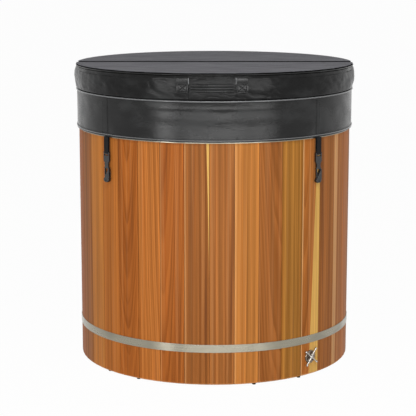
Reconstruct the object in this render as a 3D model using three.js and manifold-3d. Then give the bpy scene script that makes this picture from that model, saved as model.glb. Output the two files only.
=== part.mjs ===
// A cold plunge tub: a coopered wall of cedar staves inside two steel hoops, a floor let into a croze and
// carried on joists, a cross-handle valve that drains through the plinth, and a folding foam cover with a
// skirt, a carry handle and two tie-down straps.
// Millimetres, +Z up. The front faces -Y. The origin lies on the ground under the tub's axis.
// Angles go round the tub from the front, positive towards +X.
import * as THREE from 'three';
import { mergeVertices } from 'three/addons/utils/BufferGeometryUtils.js';
import Module from 'manifold-3d';

const wasm = await Module();
wasm.setup();

const degrees = THREE.MathUtils.degToRad;

// Fits between pieces
const FIT_GAP = 0.3;
const WELD_TOLERANCE = 1e-4;

// Wall of staves
const TUB_RADIUS = 533;
const STAVE_COUNT = 36;
const STAVE_THICKNESS = 38;
const STAVE_LENGTH = 1055;
const STAVE_LIFT = 4;
const FIRST_JOINT = degrees(-2);
const BEAD_RADIUS = 11;
const BEAD_HEIGHT = 5;
const FOOT_CHAMFER = 3;
const RIM_CHAMFER = 6;

// Floor and joists
const FLOOR_UNDERSIDE = 126;
const FLOOR_THICKNESS = 36;
const CROZE_DEPTH = 12;
const BOARD_WIDTH = 132;
const BOARD_GROOVE = 3;
const JOIST_WIDTH = 50;
const JOIST_END_CLEARANCE = 8;
const JOIST_END_CHAMFER = 24;
const JOIST_VALVE_CLEARANCE = 14;

// Hoops
const HOOP_WIDTH = 30;
const HOOP_THICKNESS = 1.5;
const HOOP_LAP = 70;
const HOOP_EASE = 40;
const LOWER_HOOP_FOOT = 128.5;
const LOWER_HOOP_JOINT = degrees(27.8);
const UPPER_HOOP_JOINT = degrees(152);

// Drain valve, measured along its axis from the faces of the drain stave
const DRAIN_STAVE = 4;
const DRAIN_HEIGHT = 73.6;
const VALVE_BORE = 24;
const VALVE_WALL = 4;
const VALVE_FLANGE_RADIUS = 20;
const VALVE_FLANGE_THICKNESS = 5;
const SPOT_FACE_DEPTH = 1.5;
const BONNET_LENGTH = 16;
const BONNET_RADIUS = 12;
const VALVE_CHAMBER = 35;
const SEAT_THICKNESS = 4;
const SEAT_BORE = 14;
const INLET_CHAMBER = 32;
const INLET_PIPE_RADIUS = 21;
const OUTLET_BORE = 18;
const OUTLET_HEIGHT = 16;
const WASHER_RADIUS = 10;
const WASHER_THICKNESS = 6;
const SPINDLE_RADIUS = 5;
const NUB_RADIUS = 3;
const NUB_LENGTH = 2.5;
const TAIL_RADIUS = 16;
const TAIL_BORE = 24;
const TAIL_ENGAGEMENT = 10;
const STRAINER_RADIUS = 34;
const STRAINER_THICKNESS = 3;
const STRAINER_HOLE = 5.2;
const STRAINER_HOLE_CIRCLE = 8;
const STRAINER_HOLES = 6;

// Escutcheon and cross handle
const ESCUTCHEON_RADIUS = 26;
const ESCUTCHEON_HEIGHT = 5.5;
const ESCUTCHEON_LIP = 2;
const ESCUTCHEON_CAP = 2.5;
const CREST_WIDTH = 4;
const DISH_DEPTH = 2.2;
const HUB_RADIUS = 8;
const HUB_LENGTH = 12;
const HANDLE_SPAN = 83;
const HANDLE_REST = degrees(5.5);
const ARM_RADIUS = 3.1;
const ARM_TIP_RADIUS = 2.5;
const KNOB_RADIUS = 4.5;

// Cover
const COVER_OVERHANG = 8;
const COVER_THICKNESS = 102;
const COVER_CROWN = 4;
const SIDE_BULGE = 3;
const FOLD_GAP = 3;
const FOLD_DRAW = 4;
const RIM_ROLL = 9;
const JACKET_WALL = 2.5;
const FOAM_CHAMFER = 5;
const ZIP_HEIGHT = 7;
const ZIP_END = 60;

// Skirt
const SKIRT_DROP = 148;
const SKIRT_THICKNESS = 2;
const SKIRT_HOOP_CLEARANCE = 0.9;
const PIPING_RADIUS = 2.6;
const PIPING_WELT = 2;
const DRAPE_DEPTH = 1.5;
const DRAPE_COUNT = 11;
const DRAPE_LEAN = 2;
const HOOP_SHOW = 4.5;

// Carry handle
const CARRY_ANGLE = degrees(-0.8);
const GRIP_LENGTH = 161;
const GRIP_WIDTH = 28;
const GRIP_THICKNESS = 4;
const GRIP_HEIGHT = 41;
const GRIP_TAIL = 10;
const FINGER_GAP = 10;
const TAB_WIDTH = 39;
const TAB_THICKNESS = 3;
const TAB_RIM_OFFSET = 6;

// Tie-down straps and side-release buckles
const LEFT_STRAP_ANGLE = degrees(-47.8);
const RIGHT_STRAP_ANGLE = degrees(45.6);
const STRAP_WIDTH = 25;
const STRAP_PLY = 1.3;
const STRAP_DROP = 60;
const BAR_RADIUS = 2.2;
const LADDER_BAR = 4;
const LADDER_SLOT = 4;
const LADDER_RAIL = 3.6;
const LADDER_LENGTH = 26;
const PLUG_THICKNESS = 6;
const NECK_WIDTH = 21;
const NECK_LENGTH = 26;
const NECK_TAPER = 10;
const COLLAR_WIDTH = 28;
const COLLAR_LENGTH = 4;
const COLLAR_LIP = 2;
const PRONG_WIDTH = 4.6;
const PRONG_LENGTH = 35;
const PRONG_TIP = 5;
const SOCKET_LENGTH = 52;
const SOCKET_WALL = 3;
const SOCKET_FACE = 2.3;
const SOCKET_DEPTH = 7.4;
const SOCKET_CAVITY = 38;
const SOCKET_ROUNDING = 11;
const SOCKET_BEVEL = 1.2;
const WINDOW_LENGTH = 16;
const WINDOW_START = 14;
const SCREW_HOLE = 5;
const SCREW_INSET = 7;

// Facets
const BEAD_SEGMENTS = 2;
const ROUND_SIDES = 20;
const SMALL_SIDES = 10;
const KNOB_RINGS = 7;
const CURVE_STEPS = 4;
const DOME_STEPS = 3;
const COVER_SIDES = 36;
const FOLD_SIDES = 6;
const ROLL_STEPS = 2;
const CROWN_STEPS = 3;
const GRIP_SIDES = 18;
const TAB_SIDES = 2;
const STRAP_SEGMENTS = 3;
const SOCKET_SEGMENTS = 2;

// Places worked out from the driving dimensions
const STAVE_PITCH = (2 * Math.PI) / STAVE_COUNT;
const WALL_SIDES = 2 * STAVE_COUNT;
const FACET = (2 * Math.PI) / WALL_SIDES;
const FACET_START = FIRST_JOINT + FACET / 2;
const FLAT = Math.cos(FACET / 2);
const INNER_RADIUS = TUB_RADIUS - STAVE_THICKNESS;
const RIM_HEIGHT = STAVE_LIFT + STAVE_LENGTH;
const FLOOR_TOP = FLOOR_UNDERSIDE + FLOOR_THICKNESS;
const DRAIN_ANGLE = FIRST_JOINT + (DRAIN_STAVE + 0.5) * STAVE_PITCH;
const COVER_RADIUS = TUB_RADIUS + COVER_OVERHANG;
const COVER_BASE = RIM_HEIGHT + FIT_GAP;
const COVER_TOP = COVER_BASE + COVER_THICKNESS;
const HOOP_INNER = TUB_RADIUS + FIT_GAP;
const HOOP_LAP_OUTER = HOOP_INNER + 2 * HOOP_THICKNESS + FIT_GAP;
const SKIRT_INNER = HOOP_LAP_OUTER + SKIRT_HOOP_CLEARANCE;
const GROOVE_HEIGHT = 2 * PIPING_RADIUS + PIPING_WELT;
const PIPING_CENTRE = COVER_BASE + PIPING_RADIUS + FIT_GAP;
const HEM_HEIGHT = PIPING_CENTRE - SKIRT_DROP;

// Points and steps
const plan = (radius, angle) => new THREE.Vector2(radius * Math.sin(angle), -radius * Math.cos(angle));
const around = (radius, angle, z) => new THREE.Vector3(...plan(radius, angle).toArray(), z);
const steps = (count) => Array.from({ length: count + 1 }, (_, i) => i / count);
const toward = (from, to, share) => THREE.MathUtils.lerp(from, to, share);

// A geometry with its shared corners welded and its faces turned outwards
function closed(geometry) {
  const bare = new THREE.BufferGeometry();
  bare.setAttribute('position', geometry.getAttribute('position'));
  bare.setIndex(geometry.getIndex());
  const welded = mergeVertices(bare, WELD_TOLERANCE);
  const position = welded.getAttribute('position');
  const corner = (i) => new THREE.Vector3().fromBufferAttribute(position, i);
  const index = Array.from(welded.getIndex().array);
  const triangles = [];
  let volume = 0;
  for (let i = 0; i < index.length; i += 3) {
    const [a, b, c] = index.slice(i, i + 3);
    if (a === b || b === c || c === a) continue;
    triangles.push([a, b, c]);
    volume += corner(a).dot(corner(b).cross(corner(c)));
  }
  const facing = volume > 0 ? triangles : triangles.map(([a, b, c]) => [a, c, b]);
  return welded.setIndex(facing.flat());
}

// A geometry as a solid that can be joined and cut
function solid(geometry) {
  const welded = closed(geometry);
  return new wasm.Manifold(new wasm.Mesh({
    numProp: 3,
    vertProperties: welded.getAttribute('position').array,
    triVerts: new Uint32Array(welded.getIndex().array),
  }));
}

// A joined or cut solid as a geometry
function geometryOf(made) {
  const { vertProperties, triVerts } = made.getMesh();
  return new THREE.BufferGeometry()
    .setAttribute('position', new THREE.BufferAttribute(vertProperties, 3))
    .setIndex(new THREE.BufferAttribute(triVerts, 1));
}

// A profile of [radius, height] points turned about the upright axis
function turned(profile, sides, start = 0) {
  const points = profile.map(([radius, height]) => new THREE.Vector2(radius, height));
  return new THREE.LatheGeometry(points, sides, start).rotateX(Math.PI / 2);
}

// The same about an axis that points out of the front of the tub, with heights along it
const turnedOutward = (profile, sides) => turned(profile, sides).rotateX(Math.PI / 2);

// A plan outline raised between two heights
function raised(shape, low, high, curveSegments) {
  const options = { depth: high - low, bevelEnabled: false, curveSegments };
  return new THREE.ExtrudeGeometry(shape, options).translate(0, 0, low);
}

// An outline of [outward, up] points, extruded across the front and centred on it
function acrossFront(shape, width, curveSegments) {
  const options = { depth: width, bevelEnabled: false, curveSegments };
  const outward = new THREE.Vector3(0, -1, 0);
  const up = new THREE.Vector3(0, 0, 1);
  const basis = new THREE.Matrix4().makeBasis(outward, up, outward.clone().cross(up));
  return new THREE.ExtrudeGeometry(shape, options).translate(0, 0, -width / 2).applyMatrix4(basis);
}

// An outline seen from the front, as [across, up] points, given a thickness and centred on it
function frontPlate(shape, thickness, curveSegments, bevel = 0) {
  const options = {
    depth: thickness - 2 * bevel,
    bevelEnabled: bevel > 0,
    bevelThickness: bevel,
    bevelSize: bevel,
    bevelOffset: -bevel,
    bevelSegments: 1,
    curveSegments,
  };
  return new THREE.ExtrudeGeometry(shape, options)
    .translate(0, 0, bevel - thickness / 2)
    .rotateX(Math.PI / 2);
}

// A closed body through rings of points with equal counts, its ends closed on their flat outlines
function loft(rings, firstOutline, lastOutline) {
  const count = rings[0].length;
  const last = (rings.length - 1) * count;
  const index = [];
  for (let ring = 0; ring < last; ring += count) {
    for (let i = 0; i < count; i++) {
      const a = ring + i;
      const b = ring + ((i + 1) % count);
      index.push(a, b, b + count, a, b + count, a + count);
    }
  }
  const cap = (outline) => THREE.ShapeUtils.triangulateShape(outline, []);
  for (const [a, b, c] of cap(firstOutline)) index.push(c, b, a);
  for (const [a, b, c] of cap(lastOutline)) index.push(last + a, last + b, last + c);
  return new THREE.BufferGeometry().setFromPoints(rings.flat()).setIndex(index);
}

// A section of [radius, height] points carried round the tub between two angles
function sweptRound(sectionAt, from, to, sides) {
  const sections = steps(sides).map((share) => {
    const angle = toward(to, from, share);
    return { angle, points: sectionAt(angle) };
  });
  const rings = sections.map(({ angle, points }) => points.map((p) => around(p.x, angle, p.y)));
  return loft(rings, sections[0].points, sections.at(-1).points);
}

// Materials and the model's tree
const CEDAR = { color: 0xb5743a, roughness: 0.6, metalness: 0 };
const FLOOR_CEDAR = { color: 0xc08a55, roughness: 0.7, metalness: 0 };
const STEEL = { color: 0xa9a79c, roughness: 0.35, metalness: 1 };
const CHROME = { color: 0xd8d8da, roughness: 0.1, metalness: 1 };
const BRASS = { color: 0xb08d4c, roughness: 0.4, metalness: 1 };
const RUBBER = { color: 0x1c1c1c, roughness: 0.8, metalness: 0 };
const FOAM = { color: 0xeeeeea, roughness: 0.9, metalness: 0 };
const VINYL = { color: 0x35363a, roughness: 0.55, metalness: 0 };
const WEBBING = { color: 0x161617, roughness: 0.8, metalness: 0 };
const PLASTIC = { color: 0x111213, roughness: 0.4, metalness: 0 };

const tub = new THREE.Group();

function place(name, shape, finish, angle = 0) {
  const geometry = shape.isBufferGeometry ? closed(shape) : geometryOf(shape);
  geometry.computeVertexNormals();
  const mesh = new THREE.Mesh(geometry, new THREE.MeshStandardMaterial(finish));
  mesh.name = name;
  mesh.rotation.z = angle;
  tub.add(mesh);
}

// Staves: the plan of one stave, with a cove on its left edge and a bead on its right
function stavePlan() {
  const half = STAVE_PITCH / 2;
  const middle = TUB_RADIUS - STAVE_THICKNESS / 2;
  const inside = INNER_RADIUS - STAVE_THICKNESS;
  const outside = TUB_RADIUS + STAVE_THICKNESS;
  const sink = BEAD_RADIUS - BEAD_HEIGHT;
  const intoStave = new THREE.Vector2(Math.cos(half), -Math.sin(half));
  const outOfStave = new THREE.Vector2(Math.cos(half), Math.sin(half));
  const coveRadius = BEAD_RADIUS + FIT_GAP;
  const coveSpread = Math.acos((sink + FIT_GAP) / coveRadius);
  const beadSpread = Math.acos(sink / BEAD_RADIUS);
  const cove = plan(middle, -half).addScaledVector(intoStave, -sink);
  const bead = plan(middle, half).addScaledVector(outOfStave, -sink);
  const leftInside = plan(inside, -half).addScaledVector(intoStave, FIT_GAP);
  const leftOutside = plan(outside, -half).addScaledVector(intoStave, FIT_GAP);
  const rightOutside = plan(outside, half);
  const rightInside = plan(inside, half);
  const shape = new THREE.Shape();
  shape.moveTo(leftInside.x, leftInside.y);
  shape.absarc(cove.x, cove.y, coveRadius, coveSpread - half, -coveSpread - half, true);
  shape.lineTo(leftOutside.x, leftOutside.y);
  shape.lineTo(rightOutside.x, rightOutside.y);
  shape.absarc(bead.x, bead.y, BEAD_RADIUS, half - beadSpread, half + beadSpread, false);
  shape.lineTo(rightInside.x, rightInside.y);
  return shape;
}

// The wall's own section: chamfered foot, croze for the floor and eased inner rim
function wallSection() {
  const crozeFoot = FLOOR_UNDERSIDE - FIT_GAP;
  const crozeHead = FLOOR_TOP + FIT_GAP;
  const crozeRadius = INNER_RADIUS + CROZE_DEPTH;
  return [
    [INNER_RADIUS, STAVE_LIFT],
    [TUB_RADIUS - FOOT_CHAMFER, STAVE_LIFT],
    [TUB_RADIUS, STAVE_LIFT + FOOT_CHAMFER],
    [TUB_RADIUS, RIM_HEIGHT],
    [INNER_RADIUS + RIM_CHAMFER, RIM_HEIGHT],
    [INNER_RADIUS, RIM_HEIGHT - RIM_CHAMFER],
    [INNER_RADIUS, crozeHead],
    [crozeRadius, crozeHead],
    [crozeRadius, crozeFoot],
    [INNER_RADIUS, crozeFoot],
    [INNER_RADIUS, STAVE_LIFT],
  ];
}

const wallRing = solid(turned(wallSection(), WALL_SIDES, FACET / 2));
const staveBlank = solid(raised(stavePlan(), 0, RIM_HEIGHT + STAVE_LIFT, BEAD_SEGMENTS));
const plainStave = staveBlank.intersect(wallRing);
const OUTER_FLAT = TUB_RADIUS * FLAT;
const SPOT_FACE = INNER_RADIUS + SPOT_FACE_DEPTH;
const spindleHole = turnedOutward([
  [0, 0],
  [VALVE_FLANGE_RADIUS + FIT_GAP, 0],
  [VALVE_FLANGE_RADIUS + FIT_GAP, SPOT_FACE],
  [BONNET_RADIUS + FIT_GAP, SPOT_FACE],
  [BONNET_RADIUS + FIT_GAP, TUB_RADIUS + STAVE_THICKNESS],
  [0, TUB_RADIUS + STAVE_THICKNESS],
], ROUND_SIDES).translate(0, 0, DRAIN_HEIGHT);
const drainStave = plainStave.subtract(solid(spindleHole));
for (let i = 0; i < STAVE_COUNT; i++) {
  const name = `stave_${String(i + 1).padStart(2, '0')}`;
  const angle = FIRST_JOINT + (i + 0.5) * STAVE_PITCH;
  place(name, i === DRAIN_STAVE ? drainStave : plainStave, CEDAR, angle);
}

// Hoops: flat bands whose ends lap, with corners over the corners of the wall's facets
function hoop(foot, joint) {
  const lap = HOOP_LAP / TUB_RADIUS;
  const ease = HOOP_EASE / TUB_RADIUS;
  const first = joint - lap;
  const last = joint + 2 * Math.PI;
  const stations = [first];
  const corner = Math.floor((first - FACET_START) / FACET) + 1;
  for (let angle = FACET_START + corner * FACET; angle < last; angle += FACET) stations.push(angle);
  stations.push(last);
  const step = HOOP_THICKNESS + FIT_GAP;
  const inner = (angle) => {
    const share = THREE.MathUtils.smoothstep(angle, last - lap - ease - FACET, last - lap - FACET);
    return HOOP_INNER + step * share;
  };
  const outline = [
    ...stations.map((angle) => plan(inner(angle) + HOOP_THICKNESS, angle)),
    ...stations.reverse().map((angle) => plan(inner(angle), angle)),
  ];
  return raised(new THREE.Shape(outline), foot, foot + HOOP_WIDTH, 1);
}

place('lower_hoop', hoop(LOWER_HOOP_FOOT, LOWER_HOOP_JOINT), STEEL);
place('upper_hoop', hoop(HEM_HEIGHT - HOOP_SHOW, UPPER_HOOP_JOINT), STEEL);

// Valve places, along the radius through the drain stave
const FLANGE_FACE = SPOT_FACE - FIT_GAP;
const CHAMBER_END = FLANGE_FACE - BONNET_LENGTH;
const SEAT_FACE = CHAMBER_END - VALVE_CHAMBER;
const INLET_END = SEAT_FACE - SEAT_THICKNESS;
const INLET_START = INLET_END - INLET_CHAMBER;
const INLET_AXIS = (INLET_START + INLET_END) / 2;
const OUTLET_AXIS = (SEAT_FACE + CHAMBER_END) / 2;
const BARREL_RADIUS = VALVE_BORE / 2 + VALVE_WALL;
const OUTLET_RADIUS = OUTLET_BORE / 2 + VALVE_WALL;
const PIPE_TOP = FLOOR_UNDERSIDE - FIT_GAP;
const TAIL_FOOT = PIPE_TOP - TAIL_ENGAGEMENT;
const ESCUTCHEON_BASE = OUTER_FLAT + FIT_GAP;
const ESCUTCHEON_TOP = ESCUTCHEON_BASE + ESCUTCHEON_HEIGHT;
const DISH_FLOOR = ESCUTCHEON_TOP - DISH_DEPTH;
const BONNET_TIP = DISH_FLOOR - ESCUTCHEON_CAP - FIT_GAP;
const outwardBy = (radius) => [0, -radius, 0];

// Floor: boards glued edge to edge, a V at each joint, and a recess for the strainer
function floorPanel() {
  const edge = INNER_RADIUS + CROZE_DEPTH - FIT_GAP;
  const disc = turned([
    [0, FLOOR_UNDERSIDE],
    [edge, FLOOR_UNDERSIDE],
    [edge, FLOOR_TOP],
    [0, FLOOR_TOP],
  ], WALL_SIDES, FACET_START);
  const recess = turned([
    [0, FLOOR_UNDERSIDE - FLOOR_THICKNESS],
    [TAIL_RADIUS + FIT_GAP, FLOOR_UNDERSIDE - FLOOR_THICKNESS],
    [TAIL_RADIUS + FIT_GAP, FLOOR_TOP - STRAINER_THICKNESS],
    [STRAINER_RADIUS + FIT_GAP, FLOOR_TOP - STRAINER_THICKNESS],
    [STRAINER_RADIUS + FIT_GAP, FLOOR_TOP + FLOOR_THICKNESS],
    [0, FLOOR_TOP + FLOOR_THICKNESS],
  ], ROUND_SIDES).translate(...outwardBy(INLET_AXIS)).rotateZ(DRAIN_ANGLE);
  let floor = solid(disc).subtract(solid(recess));
  const groove = new THREE.Shape([
    new THREE.Vector2(-2 * BOARD_GROOVE, BOARD_GROOVE),
    new THREE.Vector2(0, -BOARD_GROOVE),
    new THREE.Vector2(2 * BOARD_GROOVE, BOARD_GROOVE),
  ]);
  for (let joint = BOARD_WIDTH / 2; joint < INNER_RADIUS; joint += BOARD_WIDTH) {
    for (const y of [joint, -joint]) {
      const bar = acrossFront(groove, 2 * TUB_RADIUS, 1).translate(0, y, FLOOR_TOP);
      floor = floor.subtract(solid(bar));
    }
  }
  return floor;
}

place('floor_panel', floorPanel(), FLOOR_CEDAR);

// Joists: three bearers under the floor, cut to the chord where each one lies
function joist(x) {
  const reach = INNER_RADIUS * FLAT - JOIST_END_CLEARANCE;
  const half = Math.sqrt(reach ** 2 - (Math.abs(x) + JOIST_WIDTH / 2) ** 2);
  const top = FLOOR_UNDERSIDE - FIT_GAP;
  const side = new THREE.Shape([
    new THREE.Vector2(JOIST_END_CHAMFER - half, 0),
    new THREE.Vector2(half - JOIST_END_CHAMFER, 0),
    new THREE.Vector2(half, JOIST_END_CHAMFER),
    new THREE.Vector2(half, top),
    new THREE.Vector2(-half, top),
    new THREE.Vector2(-half, JOIST_END_CHAMFER),
  ]);
  return acrossFront(side, JOIST_WIDTH, 1).translate(x, 0, 0);
}

const valveEdge = (INLET_START - VALVE_WALL) * Math.sin(DRAIN_ANGLE) - INLET_PIPE_RADIUS;
const joistOffset = valveEdge - JOIST_VALVE_CLEARANCE - JOIST_WIDTH / 2;
place('left_joist', joist(-joistOffset), FLOOR_CEDAR);
place('centre_joist', joist(0), FLOOR_CEDAR);
place('right_joist', joist(joistOffset), FLOOR_CEDAR);

// Strainer: a pierced flange in the floor with a tail that drops into the valve
function strainer() {
  const seat = FLOOR_TOP - STRAINER_THICKNESS + FIT_GAP;
  const head = seat + STRAINER_THICKNESS;
  let body = solid(turned([
    [0, seat],
    [TAIL_BORE / 2, seat],
    [TAIL_BORE / 2, TAIL_FOOT],
    [TAIL_RADIUS, TAIL_FOOT],
    [TAIL_RADIUS, seat],
    [STRAINER_RADIUS, seat],
    [STRAINER_RADIUS - STRAINER_THICKNESS / 2, head],
    [0, head],
  ], ROUND_SIDES));
  const hole = (x, y) => turned([
    [0, seat - STRAINER_THICKNESS],
    [STRAINER_HOLE / 2, seat - STRAINER_THICKNESS],
    [STRAINER_HOLE / 2, head + STRAINER_THICKNESS],
    [0, head + STRAINER_THICKNESS],
  ], SMALL_SIDES).translate(x, y, 0);
  const circle = steps(STRAINER_HOLES).slice(1);
  const ring = circle.map((share) => plan(STRAINER_HOLE_CIRCLE, share * 2 * Math.PI));
  for (const { x, y } of [new THREE.Vector2(), ...ring]) body = body.subtract(solid(hole(x, y)));
  return body.translate(outwardBy(INLET_AXIS));
}

place('drain_strainer', strainer(), CHROME, DRAIN_ANGLE);

// Valve body: inlet from the floor, a seat across the barrel, an outlet below and a bonnet through the wall
function valveBody() {
  const barrel = turnedOutward([
    [0, INLET_START - VALVE_WALL],
    [BARREL_RADIUS, INLET_START - VALVE_WALL],
    [BARREL_RADIUS, FLANGE_FACE - VALVE_FLANGE_THICKNESS],
    [VALVE_FLANGE_RADIUS, FLANGE_FACE - VALVE_FLANGE_THICKNESS],
    [VALVE_FLANGE_RADIUS, FLANGE_FACE],
    [BONNET_RADIUS, FLANGE_FACE],
    [BONNET_RADIUS, BONNET_TIP],
    [0, BONNET_TIP],
  ], ROUND_SIDES).translate(0, 0, DRAIN_HEIGHT);
  const bore = turnedOutward([
    [0, INLET_START],
    [VALVE_BORE / 2, INLET_START],
    [VALVE_BORE / 2, INLET_END],
    [SEAT_BORE / 2, INLET_END],
    [SEAT_BORE / 2, SEAT_FACE],
    [VALVE_BORE / 2, SEAT_FACE],
    [VALVE_BORE / 2, CHAMBER_END],
    [SPINDLE_RADIUS + FIT_GAP, CHAMBER_END],
    [SPINDLE_RADIUS + FIT_GAP, BONNET_TIP + VALVE_WALL],
    [0, BONNET_TIP + VALVE_WALL],
  ], ROUND_SIDES).translate(0, 0, DRAIN_HEIGHT);
  const pipe = (radius, low, high, at) => solid(
    turned([[0, low], [radius, low], [radius, high], [0, high]], ROUND_SIDES).translate(...outwardBy(at)),
  );
  return solid(barrel)
    .add(pipe(INLET_PIPE_RADIUS, DRAIN_HEIGHT, PIPE_TOP, INLET_AXIS))
    .add(pipe(OUTLET_RADIUS, OUTLET_HEIGHT, DRAIN_HEIGHT, OUTLET_AXIS))
    .subtract(solid(bore))
    .subtract(pipe(TAIL_BORE / 2, DRAIN_HEIGHT, PIPE_TOP + VALVE_WALL, INLET_AXIS))
    .subtract(pipe(TAIL_RADIUS + FIT_GAP, TAIL_FOOT - FIT_GAP, PIPE_TOP + VALVE_WALL, INLET_AXIS))
    .subtract(pipe(OUTLET_BORE / 2, OUTLET_HEIGHT - VALVE_WALL, DRAIN_HEIGHT, OUTLET_AXIS));
}

place('drain_valve_body', valveBody(), BRASS, DRAIN_ANGLE);

// Washer: closes on the seat, with a socket that the spindle's nub turns in
const WASHER_FACE = SEAT_FACE + FIT_GAP;
const WASHER_BACK = WASHER_FACE + WASHER_THICKNESS;
const washer = turnedOutward([
  [0, WASHER_FACE],
  [WASHER_RADIUS, WASHER_FACE],
  [WASHER_RADIUS, WASHER_BACK],
  [NUB_RADIUS + FIT_GAP, WASHER_BACK],
  [NUB_RADIUS + FIT_GAP, WASHER_BACK - NUB_LENGTH],
  [0, WASHER_BACK - NUB_LENGTH],
], ROUND_SIDES).translate(0, 0, DRAIN_HEIGHT);
place('valve_washer', washer, RUBBER, DRAIN_ANGLE);

// Escutcheon: a dished rose with a rolled crest, which clamps the bonnet against the wall
const quarterTurn = steps(CURVE_STEPS).map((share) => (share * Math.PI) / 2);
const crestRadius = ESCUTCHEON_RADIUS - CREST_WIDTH;
const crestCurve = quarterTurn.map((turn) => [
  crestRadius + CREST_WIDTH * Math.cos(turn),
  ESCUTCHEON_BASE + ESCUTCHEON_LIP + (ESCUTCHEON_HEIGHT - ESCUTCHEON_LIP) * Math.sin(turn),
]);
const dishCurve = quarterTurn.slice(1).map((turn) => [
  HUB_RADIUS + (crestRadius - HUB_RADIUS) * Math.cos(turn),
  ESCUTCHEON_TOP - DISH_DEPTH * Math.sin(turn),
]);
const rose = turnedOutward([
  [BONNET_RADIUS + FIT_GAP, ESCUTCHEON_BASE],
  [ESCUTCHEON_RADIUS, ESCUTCHEON_BASE],
  ...crestCurve,
  ...dishCurve,
  [SPINDLE_RADIUS + FIT_GAP, DISH_FLOOR],
  [SPINDLE_RADIUS + FIT_GAP, DISH_FLOOR - ESCUTCHEON_CAP],
  [BONNET_RADIUS + FIT_GAP, DISH_FLOOR - ESCUTCHEON_CAP],
  [BONNET_RADIUS + FIT_GAP, ESCUTCHEON_BASE],
], ROUND_SIDES).translate(0, 0, DRAIN_HEIGHT);
place('drain_escutcheon', rose, CHROME, DRAIN_ANGLE);

// Cross handle: spindle, domed hub and four tapered arms with ball ends
function crossHandle() {
  const hubFoot = DISH_FLOOR + FIT_GAP;
  const armPlane = hubFoot + HUB_LENGTH / 2;
  const dome = steps(DOME_STEPS).map((share) => {
    const turn = (share * Math.PI) / 2;
    return [HUB_RADIUS * Math.cos(turn), armPlane + (HUB_LENGTH / 2) * Math.sin(turn)];
  });
  let handle = solid(turnedOutward([
    [0, WASHER_BACK - NUB_LENGTH + FIT_GAP],
    [NUB_RADIUS, WASHER_BACK - NUB_LENGTH + FIT_GAP],
    [NUB_RADIUS, WASHER_BACK + FIT_GAP],
    [SPINDLE_RADIUS, WASHER_BACK + FIT_GAP],
    [SPINDLE_RADIUS, hubFoot],
    [HUB_RADIUS - ARM_TIP_RADIUS, hubFoot],
    ...dome.slice(0, -1),
    [0, hubFoot + HUB_LENGTH],
  ], ROUND_SIDES));
  const knobCentre = HANDLE_SPAN / 2 - KNOB_RADIUS;
  for (let arm = 0; arm < 4; arm++) {
    const turn = ((arm + 0.5) * Math.PI) / 2 + HANDLE_REST;
    const rod = new THREE.CylinderGeometry(ARM_TIP_RADIUS, ARM_RADIUS, knobCentre, SMALL_SIDES)
      .translate(0, knobCentre / 2, 0);
    const knob = new THREE.SphereGeometry(KNOB_RADIUS, SMALL_SIDES, KNOB_RINGS).translate(0, knobCentre, 0);
    for (const piece of [rod, knob]) {
      const set = piece.rotateZ(turn).rotateX(Math.PI / 2).translate(0, -armPlane, 0);
      handle = handle.add(solid(set));
    }
  }
  return handle.translate([0, 0, DRAIN_HEIGHT]);
}

place('cross_handle', crossHandle(), CHROME, DRAIN_ANGLE);

// Cover halves: a plan outline with its round side and its straight fold side set in by their own amounts
function halfDisc(radius, foldInset) {
  const spread = Math.acos(foldInset / radius);
  const round = steps(COVER_SIDES).map((share) => plan(radius, toward(-spread, spread, share)));
  const [left, right] = [round[0], round.at(-1)];
  const fold = steps(FOLD_SIDES).slice(1, -1).map((share) => right.clone().lerp(left, share));
  return [...round, ...fold];
}

function halfDiscBody(levels) {
  const outlines = levels.map(({ radius, fold }) => halfDisc(radius, fold));
  const rings = outlines.map((points, k) => points.map((p) => new THREE.Vector3(p.x, p.y, levels[k].z)));
  return loft(rings, outlines[0], outlines.at(-1));
}

// The round side of the jacket swells between its seams
const sideRadius = (z) => {
  const share = (z - COVER_BASE) / COVER_THICKNESS;
  return COVER_RADIUS + SIDE_BULGE * Math.sin(Math.PI * THREE.MathUtils.clamp(share, 0, 1));
};
const GROOVE_RADIUS = SKIRT_INNER - 2 * FIT_GAP;
const FOLD_HALF = FOLD_GAP / 2;
const FOAM_FOLD = FOLD_HALF + FOLD_DRAW + JACKET_WALL + FIT_GAP;
const FOAM_RADIUS = GROOVE_RADIUS - JACKET_WALL - FIT_GAP;

function jacketLevels() {
  const seam = COVER_BASE + GROOVE_HEIGHT;
  const rim = COVER_TOP - RIM_ROLL;
  const side = steps(CURVE_STEPS).map((share) => {
    const z = toward(seam + PIPING_RADIUS, rim, share);
    return { radius: sideRadius(z), fold: FOLD_HALF + FOLD_DRAW * Math.sin(Math.PI * share), z };
  });
  const roll = steps(ROLL_STEPS).slice(1).map((share) => {
    const turn = (share * Math.PI) / 2;
    const drawnIn = RIM_ROLL * (1 - Math.cos(turn));
    const z = rim + RIM_ROLL * Math.sin(turn);
    return { radius: sideRadius(rim) - drawnIn, fold: FOLD_HALF + drawnIn, z };
  });
  const inradius = COVER_RADIUS / 2;
  const crown = steps(CROWN_STEPS + 1).slice(1, -1).map((share) => ({
    radius: COVER_RADIUS - share * inradius,
    fold: FOLD_HALF + share * inradius,
    z: COVER_TOP + COVER_CROWN * (1 - (1 - share) ** 2),
  }));
  return [
    { radius: GROOVE_RADIUS, fold: FOLD_HALF + FOLD_DRAW, z: COVER_BASE },
    { radius: GROOVE_RADIUS, fold: FOLD_HALF + FOLD_DRAW, z: seam },
    ...side,
    ...roll,
    ...crown,
  ];
}

function slabLevels(clearance) {
  const low = COVER_BASE + JACKET_WALL + FIT_GAP - clearance;
  const high = COVER_TOP - JACKET_WALL - FIT_GAP + clearance;
  const level = (inset, z) => ({ radius: FOAM_RADIUS - inset, fold: FOAM_FOLD + inset, z });
  return [
    level(-clearance, low),
    level(-clearance, high - FOAM_CHAMFER),
    level(FOAM_CHAMFER - clearance, high),
  ];
}

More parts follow.
